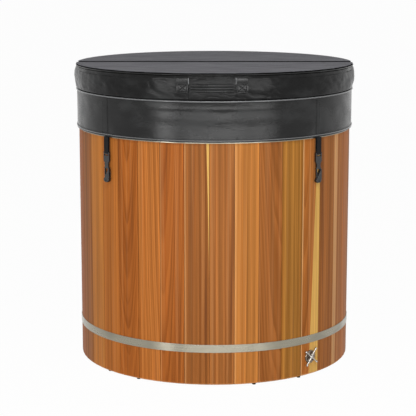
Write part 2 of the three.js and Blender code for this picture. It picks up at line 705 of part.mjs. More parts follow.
// Jacket: a skin round the foam, with the zip opening along the fold side
function jacket() {
  const length = 2 * (COVER_RADIUS - ZIP_END);
  const middle = COVER_BASE + COVER_THICKNESS / 2;
  const zip = new THREE.BoxGeometry(length, 2 * FOAM_FOLD, ZIP_HEIGHT).translate(0, -FOAM_FOLD, middle);
  return solid(halfDiscBody(jacketLevels()))
    .subtract(solid(halfDiscBody(slabLevels(FIT_GAP))))
    .subtract(solid(zip));
}

const coverJacket = jacket();
const foamCore = halfDiscBody(slabLevels(0));
place('front_foam_core', foamCore, FOAM);
place('rear_foam_core', foamCore, FOAM, Math.PI);
place('front_jacket', coverJacket, VINYL);
place('rear_jacket', coverJacket, VINYL, Math.PI);

// Skirt: a sheet hung from a piping bead, with shallow folds that deepen towards the hem
function skirtSection(angle) {
  const top = PIPING_CENTRE - PIPING_RADIUS;
  const bead = SKIRT_INNER + PIPING_RADIUS;
  const rows = steps(CURVE_STEPS).map((share) => {
    const sway = 1 + Math.sin(DRAPE_COUNT * angle + DRAPE_LEAN * share);
    const radius = SKIRT_INNER + DRAPE_DEPTH * sway * Math.sin(Math.PI * share) ** 2;
    return new THREE.Vector2(radius, toward(HEM_HEIGHT, top, share));
  });
  const outer = rows.map((p) => new THREE.Vector2(p.x + SKIRT_THICKNESS, p.y));
  const round = steps(CURVE_STEPS).map((share) => {
    const turn = toward(-Math.PI / 6, Math.PI, share);
    const offset = new THREE.Vector2(Math.cos(turn), Math.sin(turn)).multiplyScalar(PIPING_RADIUS);
    return offset.add(new THREE.Vector2(bead, PIPING_CENTRE));
  });
  return [...outer, ...round, ...rows.reverse()];
}

const skirtSpread = Math.acos((FOLD_HALF + FIT_GAP) / SKIRT_INNER);
place('front_skirt', sweptRound(skirtSection, -skirtSpread, skirtSpread, COVER_SIDES), VINYL);
place('rear_skirt', sweptRound(skirtSection, -skirtSpread, skirtSpread, COVER_SIDES), VINYL, Math.PI);

// Carry handle: two sewn tabs that follow the jacket's side and a grip band that stands off it
function carryHandle() {
  const foot = COVER_BASE + GRIP_HEIGHT;
  const head = COVER_TOP - RIM_ROLL - TAB_RIM_OFFSET;
  const halfGrip = GRIP_LENGTH / 2 / COVER_RADIUS;
  const tabAngle = TAB_WIDTH / COVER_RADIUS;
  const tabSection = () => {
    const inner = steps(CURVE_STEPS).map((share) => {
      const z = toward(head, foot, share);
      return new THREE.Vector2(sideRadius(z) + FIT_GAP, z);
    });
    const outer = inner.map((p) => new THREE.Vector2(p.x + TAB_THICKNESS, p.y)).reverse();
    return [...inner, ...outer];
  };
  const root = COVER_RADIUS + SIDE_BULGE + FIT_GAP;
  const gripSection = (angle) => {
    const share = THREE.MathUtils.clamp(Math.abs(angle) / halfGrip, 0, 1);
    const inner = root + FINGER_GAP * THREE.MathUtils.smoothstep(1 - share ** 2, 0, 1);
    return [
      new THREE.Vector2(inner, foot + GRIP_WIDTH),
      new THREE.Vector2(inner, foot),
      new THREE.Vector2(inner + GRIP_THICKNESS, foot),
      new THREE.Vector2(inner + GRIP_THICKNESS, foot + GRIP_WIDTH),
    ];
  };
  const tail = GRIP_TAIL / COVER_RADIUS;
  const grip = sweptRound(gripSection, -halfGrip - tail, halfGrip + tail, GRIP_SIDES);
  const left = sweptRound(tabSection, -halfGrip - tabAngle, -halfGrip, TAB_SIDES);
  const right = sweptRound(tabSection, halfGrip, halfGrip + tabAngle, TAB_SIDES);
  return solid(grip).add(solid(left)).add(solid(right));
}

place('carry_handle', carryHandle(), VINYL, CARRY_ANGLE);

// Straps: a loop of webbing sewn to the hem that passes under the bar of the buckle
const BEND = BAR_RADIUS + FIT_GAP;
const STRAP_REACH = BEND + STRAP_PLY;
const SOCKET_THICKNESS = SOCKET_DEPTH + 2 * SOCKET_FACE;
const HOOP_OUTER = HOOP_INNER + HOOP_THICKNESS;
const BUCKLE_RADIUS = HOOP_OUTER + FIT_GAP + Math.max(STRAP_REACH, SOCKET_THICKNESS / 2);
const STRAP_HEAD = HEM_HEIGHT - FIT_GAP;
const BAR_HEIGHT = STRAP_HEAD - STRAP_DROP;

function strap() {
  const head = STRAP_HEAD - BAR_HEIGHT;
  const shape = new THREE.Shape();
  shape.moveTo(-STRAP_REACH, head);
  shape.absarc(0, 0, STRAP_REACH, Math.PI, 2 * Math.PI, false);
  shape.lineTo(STRAP_REACH, head);
  shape.lineTo(BEND, head);
  shape.absarc(0, 0, BEND, 2 * Math.PI, Math.PI, true);
  shape.lineTo(-BEND, head);
  return acrossFront(shape, STRAP_WIDTH, STRAP_SEGMENTS).translate(0, -BUCKLE_RADIUS, BAR_HEIGHT);
}

// Plug: ladder frame with its bars, neck, collar and two prongs, measured down from the strap's bar
const SLOT_HALF = STRAP_WIDTH / 2 + FIT_GAP;
const LADDER_HALF = SLOT_HALF + LADDER_RAIL;
const LOOP_SLOT = STRAP_REACH + FIT_GAP;
const PLATE_TOP = LOOP_SLOT + LADDER_BAR + LADDER_SLOT;
const PLATE_FOOT = PLATE_TOP + LADDER_LENGTH - LADDER_BAR - LADDER_SLOT;
const COLLAR_TOP = PLATE_FOOT + NECK_LENGTH;
const COLLAR_FOOT = COLLAR_TOP + COLLAR_LENGTH;
const CAVITY_HALF = COLLAR_WIDTH / 2 - COLLAR_LIP;
const PRONG_HALF = CAVITY_HALF - FIT_GAP;

function plug() {
  const right = [
    [SLOT_HALF, BAR_RADIUS],
    [LADDER_HALF, BAR_RADIUS],
    [LADDER_HALF, -PLATE_FOOT],
    [NECK_WIDTH / 2, -PLATE_FOOT - NECK_TAPER],
    [NECK_WIDTH / 2, -COLLAR_TOP],
    [COLLAR_WIDTH / 2, -COLLAR_TOP],
    [COLLAR_WIDTH / 2, -COLLAR_FOOT],
    [PRONG_HALF, -COLLAR_FOOT],
    [PRONG_HALF, -COLLAR_FOOT - PRONG_LENGTH + PRONG_TIP],
    [PRONG_HALF - PRONG_WIDTH / 2, -COLLAR_FOOT - PRONG_LENGTH],
    [PRONG_HALF - PRONG_WIDTH, -COLLAR_FOOT - PRONG_LENGTH],
    [PRONG_HALF - PRONG_WIDTH, -COLLAR_FOOT],
  ];
  const top = [[SLOT_HALF, -LOOP_SLOT], ...right];
  const left = top.map(([x, z]) => [-x, z]).reverse();
  const points = (list) => list.map(([x, z]) => new THREE.Vector2(x, z));
  const outline = new THREE.Shape(points([...top, ...left]));
  outline.holes.push(new THREE.Path(points([
    [-SLOT_HALF, -PLATE_TOP],
    [SLOT_HALF, -PLATE_TOP],
    [SLOT_HALF, -PLATE_TOP + LADDER_SLOT],
    [-SLOT_HALF, -PLATE_TOP + LADDER_SLOT],
  ])));
  const bar = new THREE.CylinderGeometry(BAR_RADIUS, BAR_RADIUS, 2 * SLOT_HALF + LADDER_RAIL, SMALL_SIDES)
    .rotateZ(Math.PI / 2);
  return solid(frontPlate(outline, PLUG_THICKNESS, 1)).add(solid(bar))
    .translate([0, -BUCKLE_RADIUS, BAR_HEIGHT]);
}

// Socket: a rounded case with a mouth for the prongs, side windows and a screw hole
function socket() {
  const mouth = -COLLAR_FOOT - FIT_GAP;
  const foot = mouth - SOCKET_LENGTH;
  const half = CAVITY_HALF + SOCKET_WALL;
  const corner = half - SOCKET_ROUNDING;
  const heel = foot + SOCKET_ROUNDING;
  const shape = new THREE.Shape();
  shape.moveTo(-half, mouth);
  shape.absarc(-corner, heel, SOCKET_ROUNDING, Math.PI, 1.5 * Math.PI, false);
  shape.absarc(corner, heel, SOCKET_ROUNDING, 1.5 * Math.PI, 2 * Math.PI, false);
  shape.lineTo(half, mouth);
  const box = (width, depth, low, high, x = 0) => solid(
    new THREE.BoxGeometry(width, depth, high - low).translate(x, 0, (low + high) / 2),
  );
  const windowTop = mouth - WINDOW_START;
  const screwRadius = SCREW_HOLE / 2;
  const screw = new THREE.CylinderGeometry(screwRadius, screwRadius, 2 * SOCKET_THICKNESS, SMALL_SIDES)
    .translate(0, 0, foot + SCREW_INSET);
  return solid(frontPlate(shape, SOCKET_THICKNESS, SOCKET_SEGMENTS, SOCKET_BEVEL))
    .subtract(box(2 * CAVITY_HALF, SOCKET_DEPTH, mouth - SOCKET_CAVITY, mouth + SOCKET_WALL))
    .subtract(box(2 * SOCKET_WALL, PLUG_THICKNESS, windowTop - WINDOW_LENGTH, windowTop, half))
    .subtract(box(2 * SOCKET_WALL, PLUG_THICKNESS, windowTop - WINDOW_LENGTH, windowTop, -half))
    .subtract(solid(screw))
    .translate([0, -BUCKLE_RADIUS, BAR_HEIGHT]);
}

for (const [side, angle] of [['left', LEFT_STRAP_ANGLE], ['right', RIGHT_STRAP_ANGLE]]) {
  place(`${side}_strap`, strap(), WEBBING, angle);
  place(`${side}_plug`, plug(), PLASTIC, angle);
  place(`${side}_socket`, socket(), PLASTIC, angle);
}

export default tub;
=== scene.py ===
"""Dresses a round cold plunge tub: cedar staves and steel hoops, a drain with a cross handle, and a
folding vinyl cover with a skirt, a carry handle and two buckled tie-down straps."""

import bisect
import math
import random
from collections import namedtuple

import bmesh
import bpy
from bpy.props import FloatProperty, FloatVectorProperty, PointerProperty
from mathutils import Matrix, Vector, noise
from mathutils.geometry import interpolate_bezier


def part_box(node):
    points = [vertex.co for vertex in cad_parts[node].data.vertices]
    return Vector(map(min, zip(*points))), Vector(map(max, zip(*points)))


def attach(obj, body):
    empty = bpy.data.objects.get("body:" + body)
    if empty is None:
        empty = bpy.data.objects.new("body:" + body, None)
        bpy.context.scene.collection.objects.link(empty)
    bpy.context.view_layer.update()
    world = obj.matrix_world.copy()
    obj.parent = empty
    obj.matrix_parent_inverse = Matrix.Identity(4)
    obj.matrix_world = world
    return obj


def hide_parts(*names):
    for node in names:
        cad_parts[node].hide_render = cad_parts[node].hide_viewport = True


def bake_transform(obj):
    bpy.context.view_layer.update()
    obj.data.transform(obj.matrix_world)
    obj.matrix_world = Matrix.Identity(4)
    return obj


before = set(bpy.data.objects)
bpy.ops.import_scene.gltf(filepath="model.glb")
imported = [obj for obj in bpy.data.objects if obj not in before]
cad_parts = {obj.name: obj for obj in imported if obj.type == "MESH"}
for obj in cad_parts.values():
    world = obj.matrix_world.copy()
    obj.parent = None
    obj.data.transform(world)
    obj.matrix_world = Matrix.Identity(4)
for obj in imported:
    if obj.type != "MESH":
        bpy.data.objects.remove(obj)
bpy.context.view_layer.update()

bl_info = {
    "name": "Cold Plunge Tub",
    "version": (1, 0, 0),
    "blender": (4, 5, 0),
    "location": "View3D > Sidebar > Plunge Tub",
    "description": "Builds a coopered cedar plunge tub with a folding cover round its CAD frame",
    "category": "Object",
}

# Sizes and places of the CAD frame, in metres; angles go round the tub from the front
STAVE_NAMES = sorted(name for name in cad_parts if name.startswith("stave_"))
STAVE_PITCH = math.tau / len(STAVE_NAMES)
FIRST_STAVE = math.radians(3.0)
TUB_RADIUS = 0.533
STAVE_HALF = math.pi * TUB_RADIUS / len(STAVE_NAMES)
STAVE_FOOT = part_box("stave_01")[0].z
COVER_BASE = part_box("front_jacket")[0].z
COVER_OVERHANG = 0.008
COVER_RADIUS = TUB_RADIUS + COVER_OVERHANG
COVER_THICKNESS = 0.102
COVER_TOP = COVER_BASE + COVER_THICKNESS
SKIRT_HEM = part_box("front_skirt")[0].z
SKIRT_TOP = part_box("front_skirt")[1].z
SKIRT_INNER = 0.5376
GROOVE_RADIUS = 0.5369
CARRY_ANGLE = math.radians(-0.8)
GRIP_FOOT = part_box("carry_handle")[0].z
STRAP_ANGLES = {"left": math.radians(-47.8), "right": math.radians(45.6)}
BUCKLE_RADIUS = 0.5411
BAR_HEIGHT = 0.8539
FOLD_HALF = 0.0015
HALVES = (("front", 0.0), ("rear", math.pi))

# Limits for merging a CAD mesh, rounding its edges and shading it
WELD = 1e-6
FLAT_ANGLE = math.radians(0.5)
CREASE_ANGLE = math.radians(38)
SHARP_ANGLE = math.radians(50)
ORIGIN = (0.0, 0.0, 0.0)
UPRIGHT = (0.0, 0.0, 1.0)


def srgb(red, green, blue):
    """A colour written in 0 to 255 screen values, as scene-linear light."""
    def linear(level):
        share = level / 255
        return share / 12.92 if share <= 0.04045 else ((share + 0.055) / 1.055) ** 2.4
    return tuple(linear(level) for level in (red, green, blue))


def size(name, default, description):
    """A length that a user may change, in metres."""
    return FloatProperty(name=name, description=description, default=default, min=0.0,
                         precision=5, unit="LENGTH", subtype="DISTANCE")


def share(name, default, description):
    """A plain number from 0 to 1 that a user may change."""
    return FloatProperty(name=name, description=description, default=default, min=0.0, max=1.0,
                         subtype="FACTOR")


def tint(name, default, description):
    """A colour that a user may change."""
    return FloatVectorProperty(name=name, description=description, default=srgb(*default), size=3,
                               min=0.0, max=1.0, subtype="COLOR")


def power(name, default, description):
    """A lamp's power that a user may change, in watts."""
    return FloatProperty(name=name, description=description, default=default, min=0.0, unit="POWER")


class TubWoodSettings(bpy.types.PropertyGroup):
    """Tones and sizes of the cedar, and the pads under it."""
    edge_ease: size("Edge ease", 0.0013, "Rounding of a stave's long edges")
    honey: tint("Honey", (196, 126, 58), "Palest heartwood")
    amber: tint("Amber", (187, 113, 49), "Common orange heartwood")
    fawn: tint("Fawn", (171, 106, 50), "Duller brown heartwood")
    tawny: tint("Tawny", (157, 95, 42), "Darker dull brown heartwood")
    umber: tint("Umber", (168, 95, 35), "Darker red-brown heartwood")
    olive: tint("Olive", (173, 117, 49), "Greenish brown heartwood")
    pale_wood_and_edge_highlight: tint("Cream", (214, 162, 108), "Pale wood at a board's edge")
    # Cream is pale wood; on the thin bands at some boards' edges it is a painted highlight of the eased
    # edge.
    sapwood: tint("Sapwood", (214, 169, 90), "Yellow outer wood at a board's edge")
    streak: tint("Streak", (92, 46, 20), "Dark resin streaks")
    foot_chamfer: size("Foot chamfer", 0.0050, "Height of the paler end grain at a stave's foot")
    grain_relief: size("Grain relief", 0.0004, "Height of the raised grain")
    pad: tint("Pad", (20, 20, 21), "Rubber of the levelling pads")


class TubMetalSettings(bpy.types.PropertyGroup):
    """Finishes of the hoops and the drain."""
    steel: tint("Steel", (152, 147, 132), "Brushed hoop steel")
    # The rose has the same plating as the handle; its darker, warm tint is a painted reflection of the
    # cedar and of shade in its cup.
    chrome: tint("Chrome", (172, 167, 160), "Plating of the cross handle and the strainer")
    rose: tint("Rose", (124, 112, 100), "Darker plating of the rose")
    brass: tint("Brass", (186, 150, 86), "Body of the valve")
    washer: tint("Washer", (24, 24, 25), "Rubber of the valve's washer")
    hoop_ease: size("Hoop ease", 0.0004, "Rounding of the hoop strip's edges")


class TubCoverSettings(bpy.types.PropertyGroup):
    """Sizes and finishes of the cover."""
    # Both top colours are lifted above the vinyl's own charcoal as painted sheen, so the top reads lighter
    # than the sides.
    top_vinyl_and_sheen: tint("Top vinyl", (84, 84, 89), "Linen-embossed vinyl on the top panel")
    top_scuff_and_sheen: tint("Top scuffs", (140, 139, 144), "Paler threads and handled places on the top panel")
    side_vinyl: tint("Side vinyl", (15, 15, 15), "Smooth vinyl on the sides and the skirt")
    # The paler patches are scuffs, and also painted highlights on the black vinyl.
    scuff_and_sheen: tint("Scuffs", (44, 45, 45), "Paler, handled places on the vinyl")
    thread: tint("Thread", (12, 12, 13), "Sewing thread")
    # The bead's grey is a painted highlight on the black piping, the hem's ridge and the tabs' edges.
    bead: tint("Bead", (88, 89, 90), "Glossier vinyl of the piping")
    crown: size("Crown", 0.0012, "Rise of the top panel at its middle")
    rim_rise: size("Rim rise", 0.0040, "How far the puffed rim stands up at the front")
    bulge: size("Bulge", 0.003, "Swell of the side between its seams")
    fold_draw: size("Fold draw", 0.004, "How far the fold side pulls in at mid-height")
    fold_round: size("Fold round", 0.022, "Rounding of the top edge along the fold")
    seam_depth: size("Seam depth", 0.0042, "Depth of the groove under the rim's flange")
    flange: size("Flange", 0.0034, "Height of the rim's flange between its two seams")
    swell: size("Swell", 0.006, "Extra fullness of the sides at the fold's ends")
    wrinkle: size("Wrinkles", 0.0023, "Height of the vinyl's wrinkles")
    skirt_gauge: size("Skirt gauge", 0.0016, "Thickness of the skirt's sheet")
    drape: size("Drape", 0.0034, "Depth of the skirt's leaning folds")
    piping_radius: size("Piping radius", 0.0029, "Radius of the piping bead")
    stitch_length: size("Stitch length", 0.0052, "Length of one stitch")
    stitch_pitch: size("Stitch pitch", 0.0074, "Distance from stitch to stitch")
    stitch_girth: size("Stitch girth", 0.0009, "Half the width of a stitch")


class TubStrapSettings(bpy.types.PropertyGroup):
    """Finishes of the tie-down straps and buckles."""
    webbing: tint("Webbing", (20, 20, 21), "Woven strap")
    plastic: tint("Plastic", (18, 18, 19), "Moulded buckle")
    ply: size("Ply", 0.0012, "Thickness of one layer of webbing")
    width: size("Width", 0.025, "Width of the webbing")
    drop: size("Drop", 0.060, "Height of the loop above the buckle's bar")
    bend: size("Bend", 0.0032, "Radius of the webbing's middle round the bar")
    mould_ease: size("Mould ease", 0.0008, "Rounding of the buckle's edges")


class TubStageSettings(bpy.types.PropertyGroup):
    """Camera, lamps and floor."""
    lens: FloatProperty(name="Lens", description="Focal length on a 36 mm sensor", default=127.805,
                        unit="CAMERA")
    eye: FloatVectorProperty(name="Eye", description="Place of the camera", size=3,
                             default=(0.0, -5.8136, 1.6531), subtype="TRANSLATION")
    tilt: FloatProperty(name="Tilt", description="Camera tilt from straight down",
                        default=math.radians(79.497), subtype="ANGLE")
    pan: FloatProperty(name="Pan", description="Camera turn to the left",
                       default=math.radians(0.2478), subtype="ANGLE")
    ambient: share("Ambient", 0.24, "Strength of the even studio light")
    key_power: power("Key", 42.0, "Softbox at the left front")
    fill_power: power("Fill", 27.0, "Softbox at the right front")
    front_power: power("Front", 72.0, "Softbox above the front")
    sweep_power: power("Sweep", 135.0, "Long, low softbox behind the camera")
    floor: tint("Floor", (246, 246, 246), "Studio floor")
    floor_white: share("White share", 0.97, "How far the floor is lifted to plain white")


class Bench:
    """Places and links the nodes of one shader tree."""

    def __init__(self, tree):
        self.tree = tree

    def feed(self, socket, value):
        """Links an output to a socket, or sets the socket to a plain value."""
        if isinstance(value, bpy.types.NodeSocket):
            self.tree.links.new(value, socket)
        else:
            socket.default_value = value

    def node(self, kind, inputs=None, **settings):
        made = self.tree.nodes.new(kind)
        for key, value in settings.items():
            setattr(made, key, value)
        for key, value in (inputs or {}).items():
            self.feed(made.inputs[key], value)
        return made

    def math(self, operation, *values):
        return self.node("ShaderNodeMath", dict(enumerate(values)), operation=operation).outputs[0]

    def noise(self, vector, factors, seed, detail=2.0):
        """Noise with its own waves per metre along each axis, moved by a seed."""
        inputs = {0: vector, 1: factors, 2: (seed,) * 3 if isinstance(seed, float) else seed}
        moved = self.node("ShaderNodeVectorMath", inputs, operation="MULTIPLY_ADD").outputs[0]
        inputs = {"Vector": moved, "Scale": 1.0, "Detail": detail}
        return self.node("ShaderNodeTexNoise", inputs).outputs[0]

    def line_noise(self, along, detail=1.0):
        """Noise along one line."""
        inputs = {"W": along, "Scale": 1.0, "Detail": detail}
        return self.node("ShaderNodeTexNoise", inputs, noise_dimensions="1D").outputs[0]

    def ramp(self, value, low, high, start=0.0, end=1.0):
        """A soft step from start to end while the value goes from low to high."""
        inputs = {"Value": value, "From Min": low, "From Max": high, "To Min": start, "To Max": end}
        made = self.node("ShaderNodeMapRange", inputs, interpolation_type="SMOOTHSTEP")
        return made.outputs[0]

    def blend(self, amount, first, second):
        """The first colour, mixed with an amount of the second."""
        made = self.node("ShaderNodeMix", data_type="RGBA")
        for index, value in ((0, amount), (6, first), (7, second)):
            self.feed(made.inputs[index], value)
        return made.outputs[2]

    def shaded(self, colour, factor):
        """A colour made lighter or darker by a factor."""
        made = self.node("ShaderNodeVectorMath", {0: colour, "Scale": factor}, operation="SCALE")
        return made.outputs[0]


def rgba(colour):
    """A colour as a shader socket takes it."""
    return (*colour, 1.0)


SKIN_OUTPUTS = {"Color": "colour", "Roughness": "value", "Height": "value"}


def new_group(name, inputs):
    """An empty shader group with the inputs given as {name: kind} and the outputs of every skin."""
    tree = bpy.data.node_groups.new(name, "ShaderNodeTree")
    kinds = {"vector": "NodeSocketVector", "colour": "NodeSocketColor", "value": "NodeSocketFloat"}
    for direction, sockets in (("INPUT", inputs), ("OUTPUT", SKIN_OUTPUTS)):
        for label, kind in sockets.items():
            tree.interface.new_socket(label, in_out=direction, socket_type=kinds[kind])
    bench = Bench(tree)
    entry = bench.node("NodeGroupInput").outputs
    leave = bench.node("NodeGroupOutput").inputs
    return bench, entry, leave


# Noises of the cedar: waves per metre across, through and along the board, and the detail
CEDAR_NOISES = {
    "sway": ((4.0, 4.0, 1.1), 1.0),
    "ripple": ((40.0, 40.0, 3.0), 2.0),
    "fibre": ((420.0, 420.0, 6.0), 2.0),
    "blotch": ((11.0, 11.0, 1.6), 2.0),
    "resin": ((46.0, 46.0, 0.9), 2.0),
    "ruddy": ((105.0, 105.0, 0.8), 3.0),
    "tan": ((72.0, 72.0, 0.55), 3.0),
    "strand": ((130.0, 130.0, 1.2), 3.0),
    "hair": ((300.0, 300.0, 1.0), 3.0),
}
RUDDY_CAST = (0.98, 0.80, 0.62)
MID_HEIGHT = 0.5


def growth_rings(bench, entry, parts, rise, sway, ripple):
    """Dark late wood in each ring, and broad bands of rings, round a leaning pith."""
    across = bench.math("SUBTRACT", parts["X"], entry["Pith Across"])
    across = bench.math("MULTIPLY_ADD", sway, 0.014, across)
    depth = bench.math("SUBTRACT", parts["Y"], entry["Pith Depth"])
    depth = bench.math("MULTIPLY_ADD", rise, entry["Lean"], depth)
    depth = bench.math("MULTIPLY_ADD", sway, 0.009, depth)
    span = bench.math("POWER", across, 2.0)
    span = bench.math("SQRT", bench.math("MULTIPLY_ADD", depth, depth, span))
    span = bench.math("MULTIPLY_ADD", ripple, 0.0016, span)
    rings = bench.math("DIVIDE", span, entry["Ring"])
    shifted = bench.math("MULTIPLY_ADD", entry["Seed"], 7.0, rings)
    bands = bench.ramp(bench.line_noise(bench.math("MULTIPLY", shifted, 0.42)), 0.33, 0.67)
    strength = bench.ramp(bench.line_noise(bench.math("MULTIPLY", shifted, 0.83)), 0.35, 0.65, 0.25, 1.0)
    phase = bench.math("FRACT", rings)
    late = bench.math("MULTIPLY", bench.ramp(phase, 0.25, 0.85), bench.ramp(phase, 1.0, 0.88))
    return bench.math("MULTIPLY", late, strength), bands


def pale_bands(bench, entry, parts, rise, sway, ripple):
    """Masks of the slanting sapwood stripe and of the pale edge band, with wandering borders; a thin band
    right at a board's edge is a painted highlight.
    """
    wander = bench.math("MULTIPLY_ADD", sway, 0.010, bench.math("MULTIPLY", ripple, 0.004))
    offset = bench.math("SUBTRACT", parts["X"], entry["Stripe Across"])
    offset = bench.math("MULTIPLY_ADD", rise, entry["Stripe Slant"], offset)
    offset = bench.math("ABSOLUTE", bench.math("ADD", offset, wander))
    stripe = bench.ramp(bench.math("SUBTRACT", entry["Stripe Half"], offset), -0.0012, 0.0012)
    # A thin pale band at a board's edge is a painted highlight of the eased edge; a wide band is pale wood.
    offset = bench.math("SUBTRACT", parts["X"], entry["Edge Across"])
    offset = bench.math("ABSOLUTE", bench.math("ADD", offset, wander))
    edge = bench.ramp(bench.math("SUBTRACT", entry["Edge Half"], offset), -0.0030, 0.0020)
    return stripe, edge


def board_light(bench, entry, parts, noises):
    """Light and dark of the fibres, with a dark line at the board's joints."""
    light = bench.math("MULTIPLY_ADD", noises["fibre"], 0.22, 0.68)
    for label, amount, middle in (("strand", 0.5, 0.15), ("hair", 0.7, 0.37), ("blotch", 0.34, 0.09)):
        light = bench.math("MULTIPLY_ADD", noises[label], amount, bench.math("SUBTRACT", light, middle))
    inset = bench.math("SUBTRACT", entry["Board Half"], bench.math("ABSOLUTE", parts["X"]))
    return bench.math("MULTIPLY", light, bench.ramp(inset, 0.0004, 0.0016, 0.5, 1.0))


def cedar_grain():
    """Growth rings, red and tan streaks, resin, sapwood, pale wood with painted highlights at some edges,
    and fibres of one board.
    """
    bench, entry, leave = new_group(
        "cedar_grain",
        {"Vector": "vector", "Wood": "colour", "Late Wood": "colour", "Streak": "colour",
         "Sapwood": "colour", "Pith Across": "value", "Pith Depth": "value", "Lean": "value",
         "Ring": "value", "Streaks": "value", "Seed": "value", "Stripe Across": "value",
         "Stripe Half": "value", "Stripe Slant": "value", "Edge Wood": "colour",
         "Edge Across": "value", "Edge Half": "value", "Board Half": "value", "Foot": "value"})
    noises = {label: bench.noise(entry["Vector"], waves, entry["Seed"], detail)
              for label, (waves, detail) in CEDAR_NOISES.items()}
    parts = bench.node("ShaderNodeSeparateXYZ", {0: entry["Vector"]}).outputs
    rise = bench.math("SUBTRACT", parts["Z"], MID_HEIGHT)
    sway, ripple = (bench.math("SUBTRACT", noises[label], 0.5) for label in ("sway", "ripple"))
    late, bands = growth_rings(bench, entry, parts, rise, sway, ripple)
    stripe, edge = pale_bands(bench, entry, parts, rise, sway, ripple)
    resin = bench.math("MULTIPLY", bench.ramp(noises["resin"], 0.56, 0.76), entry["Streaks"])
    foot = bench.ramp(bench.math("SUBTRACT", parts["Z"], entry["Foot"]), 0.0012, -0.0006)
    colour = bench.blend(bench.math("MULTIPLY", bands, 0.66), entry["Wood"], entry["Late Wood"])
    colour = bench.blend(bench.math("MULTIPLY", late, 0.92), colour, entry["Late Wood"])
    ruddy = bench.node("ShaderNodeVectorMath", {0: colour, 1: RUDDY_CAST}, operation="MULTIPLY").outputs[0]
    pale = bench.blend(bench.math("MULTIPLY", late, 0.35), entry["Sapwood"], entry["Wood"])
    # The edge mask blends in pale wood, and on thin bands at a board's edge a painted highlight.
    for mask, amount, other in (
            (bench.ramp(noises["ruddy"], 0.50, 0.70), 0.55, ruddy),
            (bench.ramp(noises["tan"], 0.50, 0.72), 0.40, entry["Edge Wood"]),
            (resin, 0.85, entry["Streak"]), (stripe, 1.0, pale),
            (edge, 0.75, entry["Edge Wood"]), (foot, 0.7, entry["Edge Wood"])):
        colour = bench.blend(bench.math("MULTIPLY", mask, amount), colour, other)
    bench.feed(leave["Color"], bench.shaded(colour, board_light(bench, entry, parts, noises)))
    bench.feed(leave["Roughness"], bench.math("MULTIPLY_ADD", noises["fibre"], 0.2, 0.42))
    bench.feed(leave["Height"], noises["fibre"])
    return bench.tree


def vinyl_skin():
    """Fine leather grain with soft creases, and paler patches that are scuffs and painted highlights."""
    bench, entry, leave = new_group(
        "vinyl_skin",
        {"Vector": "vector", "Vinyl": "colour", "Scuff And Sheen": "colour", "Creases": "value"})
    place = entry["Vector"]
    cells = bench.node("ShaderNodeTexVoronoi", {"Vector": place, "Scale": 620.0},
                       feature="F1").outputs["Distance"]
    crease = bench.noise(place, (16.0, 16.0, 34.0), 1.7, 2.5)
    ridge = bench.math("ABSOLUTE", bench.math("SUBTRACT", crease, 0.5))
    fold = bench.ramp(ridge, 0.0, 0.09)
    # Paler patches: scuffs, and painted highlights on the black vinyl.
    scuff_sheen_mask = bench.ramp(bench.noise(place, (7.0, 7.0, 13.0), 4.1, 4.0), 0.42, 0.72)
    colour = bench.blend(bench.math("MULTIPLY", scuff_sheen_mask, 0.6), entry["Vinyl"], entry["Scuff And Sheen"])
    bench.feed(leave["Color"], bench.shaded(colour, bench.math("MULTIPLY_ADD", cells, 0.25, 0.85)))
    rough = bench.math("MULTIPLY_ADD", scuff_sheen_mask, 0.14, 0.18)
    bench.feed(leave["Roughness"], bench.math("MULTIPLY_ADD", cells, 0.08, rough))
    relief = bench.math("MULTIPLY", fold, entry["Creases"])
    bench.feed(leave["Height"], bench.math("MULTIPLY_ADD", cells, 0.12, relief))
    return bench.tree


def linen_emboss():
    """A linen-like emboss whose long threads run across the tub."""
    bench, entry, leave = new_group(
        "linen_emboss", {"Vector": "vector", "Vinyl": "colour", "Scuff And Sheen": "colour"})
    place = entry["Vector"]
    weft = bench.noise(place, (22.0, 640.0, 40.0), 2.3, 2.0)
    warp = bench.noise(place, (640.0, 30.0, 40.0), 5.9, 2.0)
    weave = bench.math("MULTIPLY_ADD", warp, 0.55, weft)
    slub = bench.ramp(bench.noise(place, (9.0, 68.0, 10.0), 8.2, 3.0), 0.38, 0.64)
    dust = bench.ramp(bench.noise(place, (6.0, 14.0, 7.0), 3.3, 5.0), 0.4, 0.7)
    colour = bench.blend(bench.math("MULTIPLY", slub, 0.55), entry["Vinyl"], entry["Scuff And Sheen"])
    colour = bench.blend(bench.math("MULTIPLY", dust, 0.25), colour, entry["Scuff And Sheen"])
    bench.feed(leave["Color"], bench.shaded(colour, bench.math("MULTIPLY_ADD", weave, 0.8, 0.36)))
    rough = bench.math("MULTIPLY_ADD", slub, 0.16, 0.56)
    bench.feed(leave["Roughness"], bench.math("MULTIPLY_ADD", weave, 0.1, rough))
    bench.feed(leave["Height"], bench.math("MULTIPLY_ADD", slub, 0.6, weave))
    return bench.tree


def brushed_metal():
    """Fine scratches that run level round the piece, with faint stains."""
    bench, entry, leave = new_group(
        "brushed_metal", {"Vector": "vector", "Metal": "colour", "Wear": "value"})
    place = entry["Vector"]
    scratch = bench.noise(place, (7.0, 7.0, 2600.0), 0.4, 3.0)
    stain = bench.ramp(bench.noise(place, (9.0, 9.0, 30.0), 6.6, 4.0), 0.4, 0.75)
    light = bench.math("MULTIPLY_ADD", scratch, 0.24, 0.86)
    light = bench.math("SUBTRACT", light, bench.math("MULTIPLY", stain, entry["Wear"]))
    bench.feed(leave["Color"], bench.shaded(entry["Metal"], light))
    rough = bench.math("MULTIPLY_ADD", scratch, 0.16, 0.2)
    bench.feed(leave["Roughness"], bench.math("MULTIPLY_ADD", stain, 0.12, rough))
    bench.feed(leave["Height"], scratch)
    return bench.tree


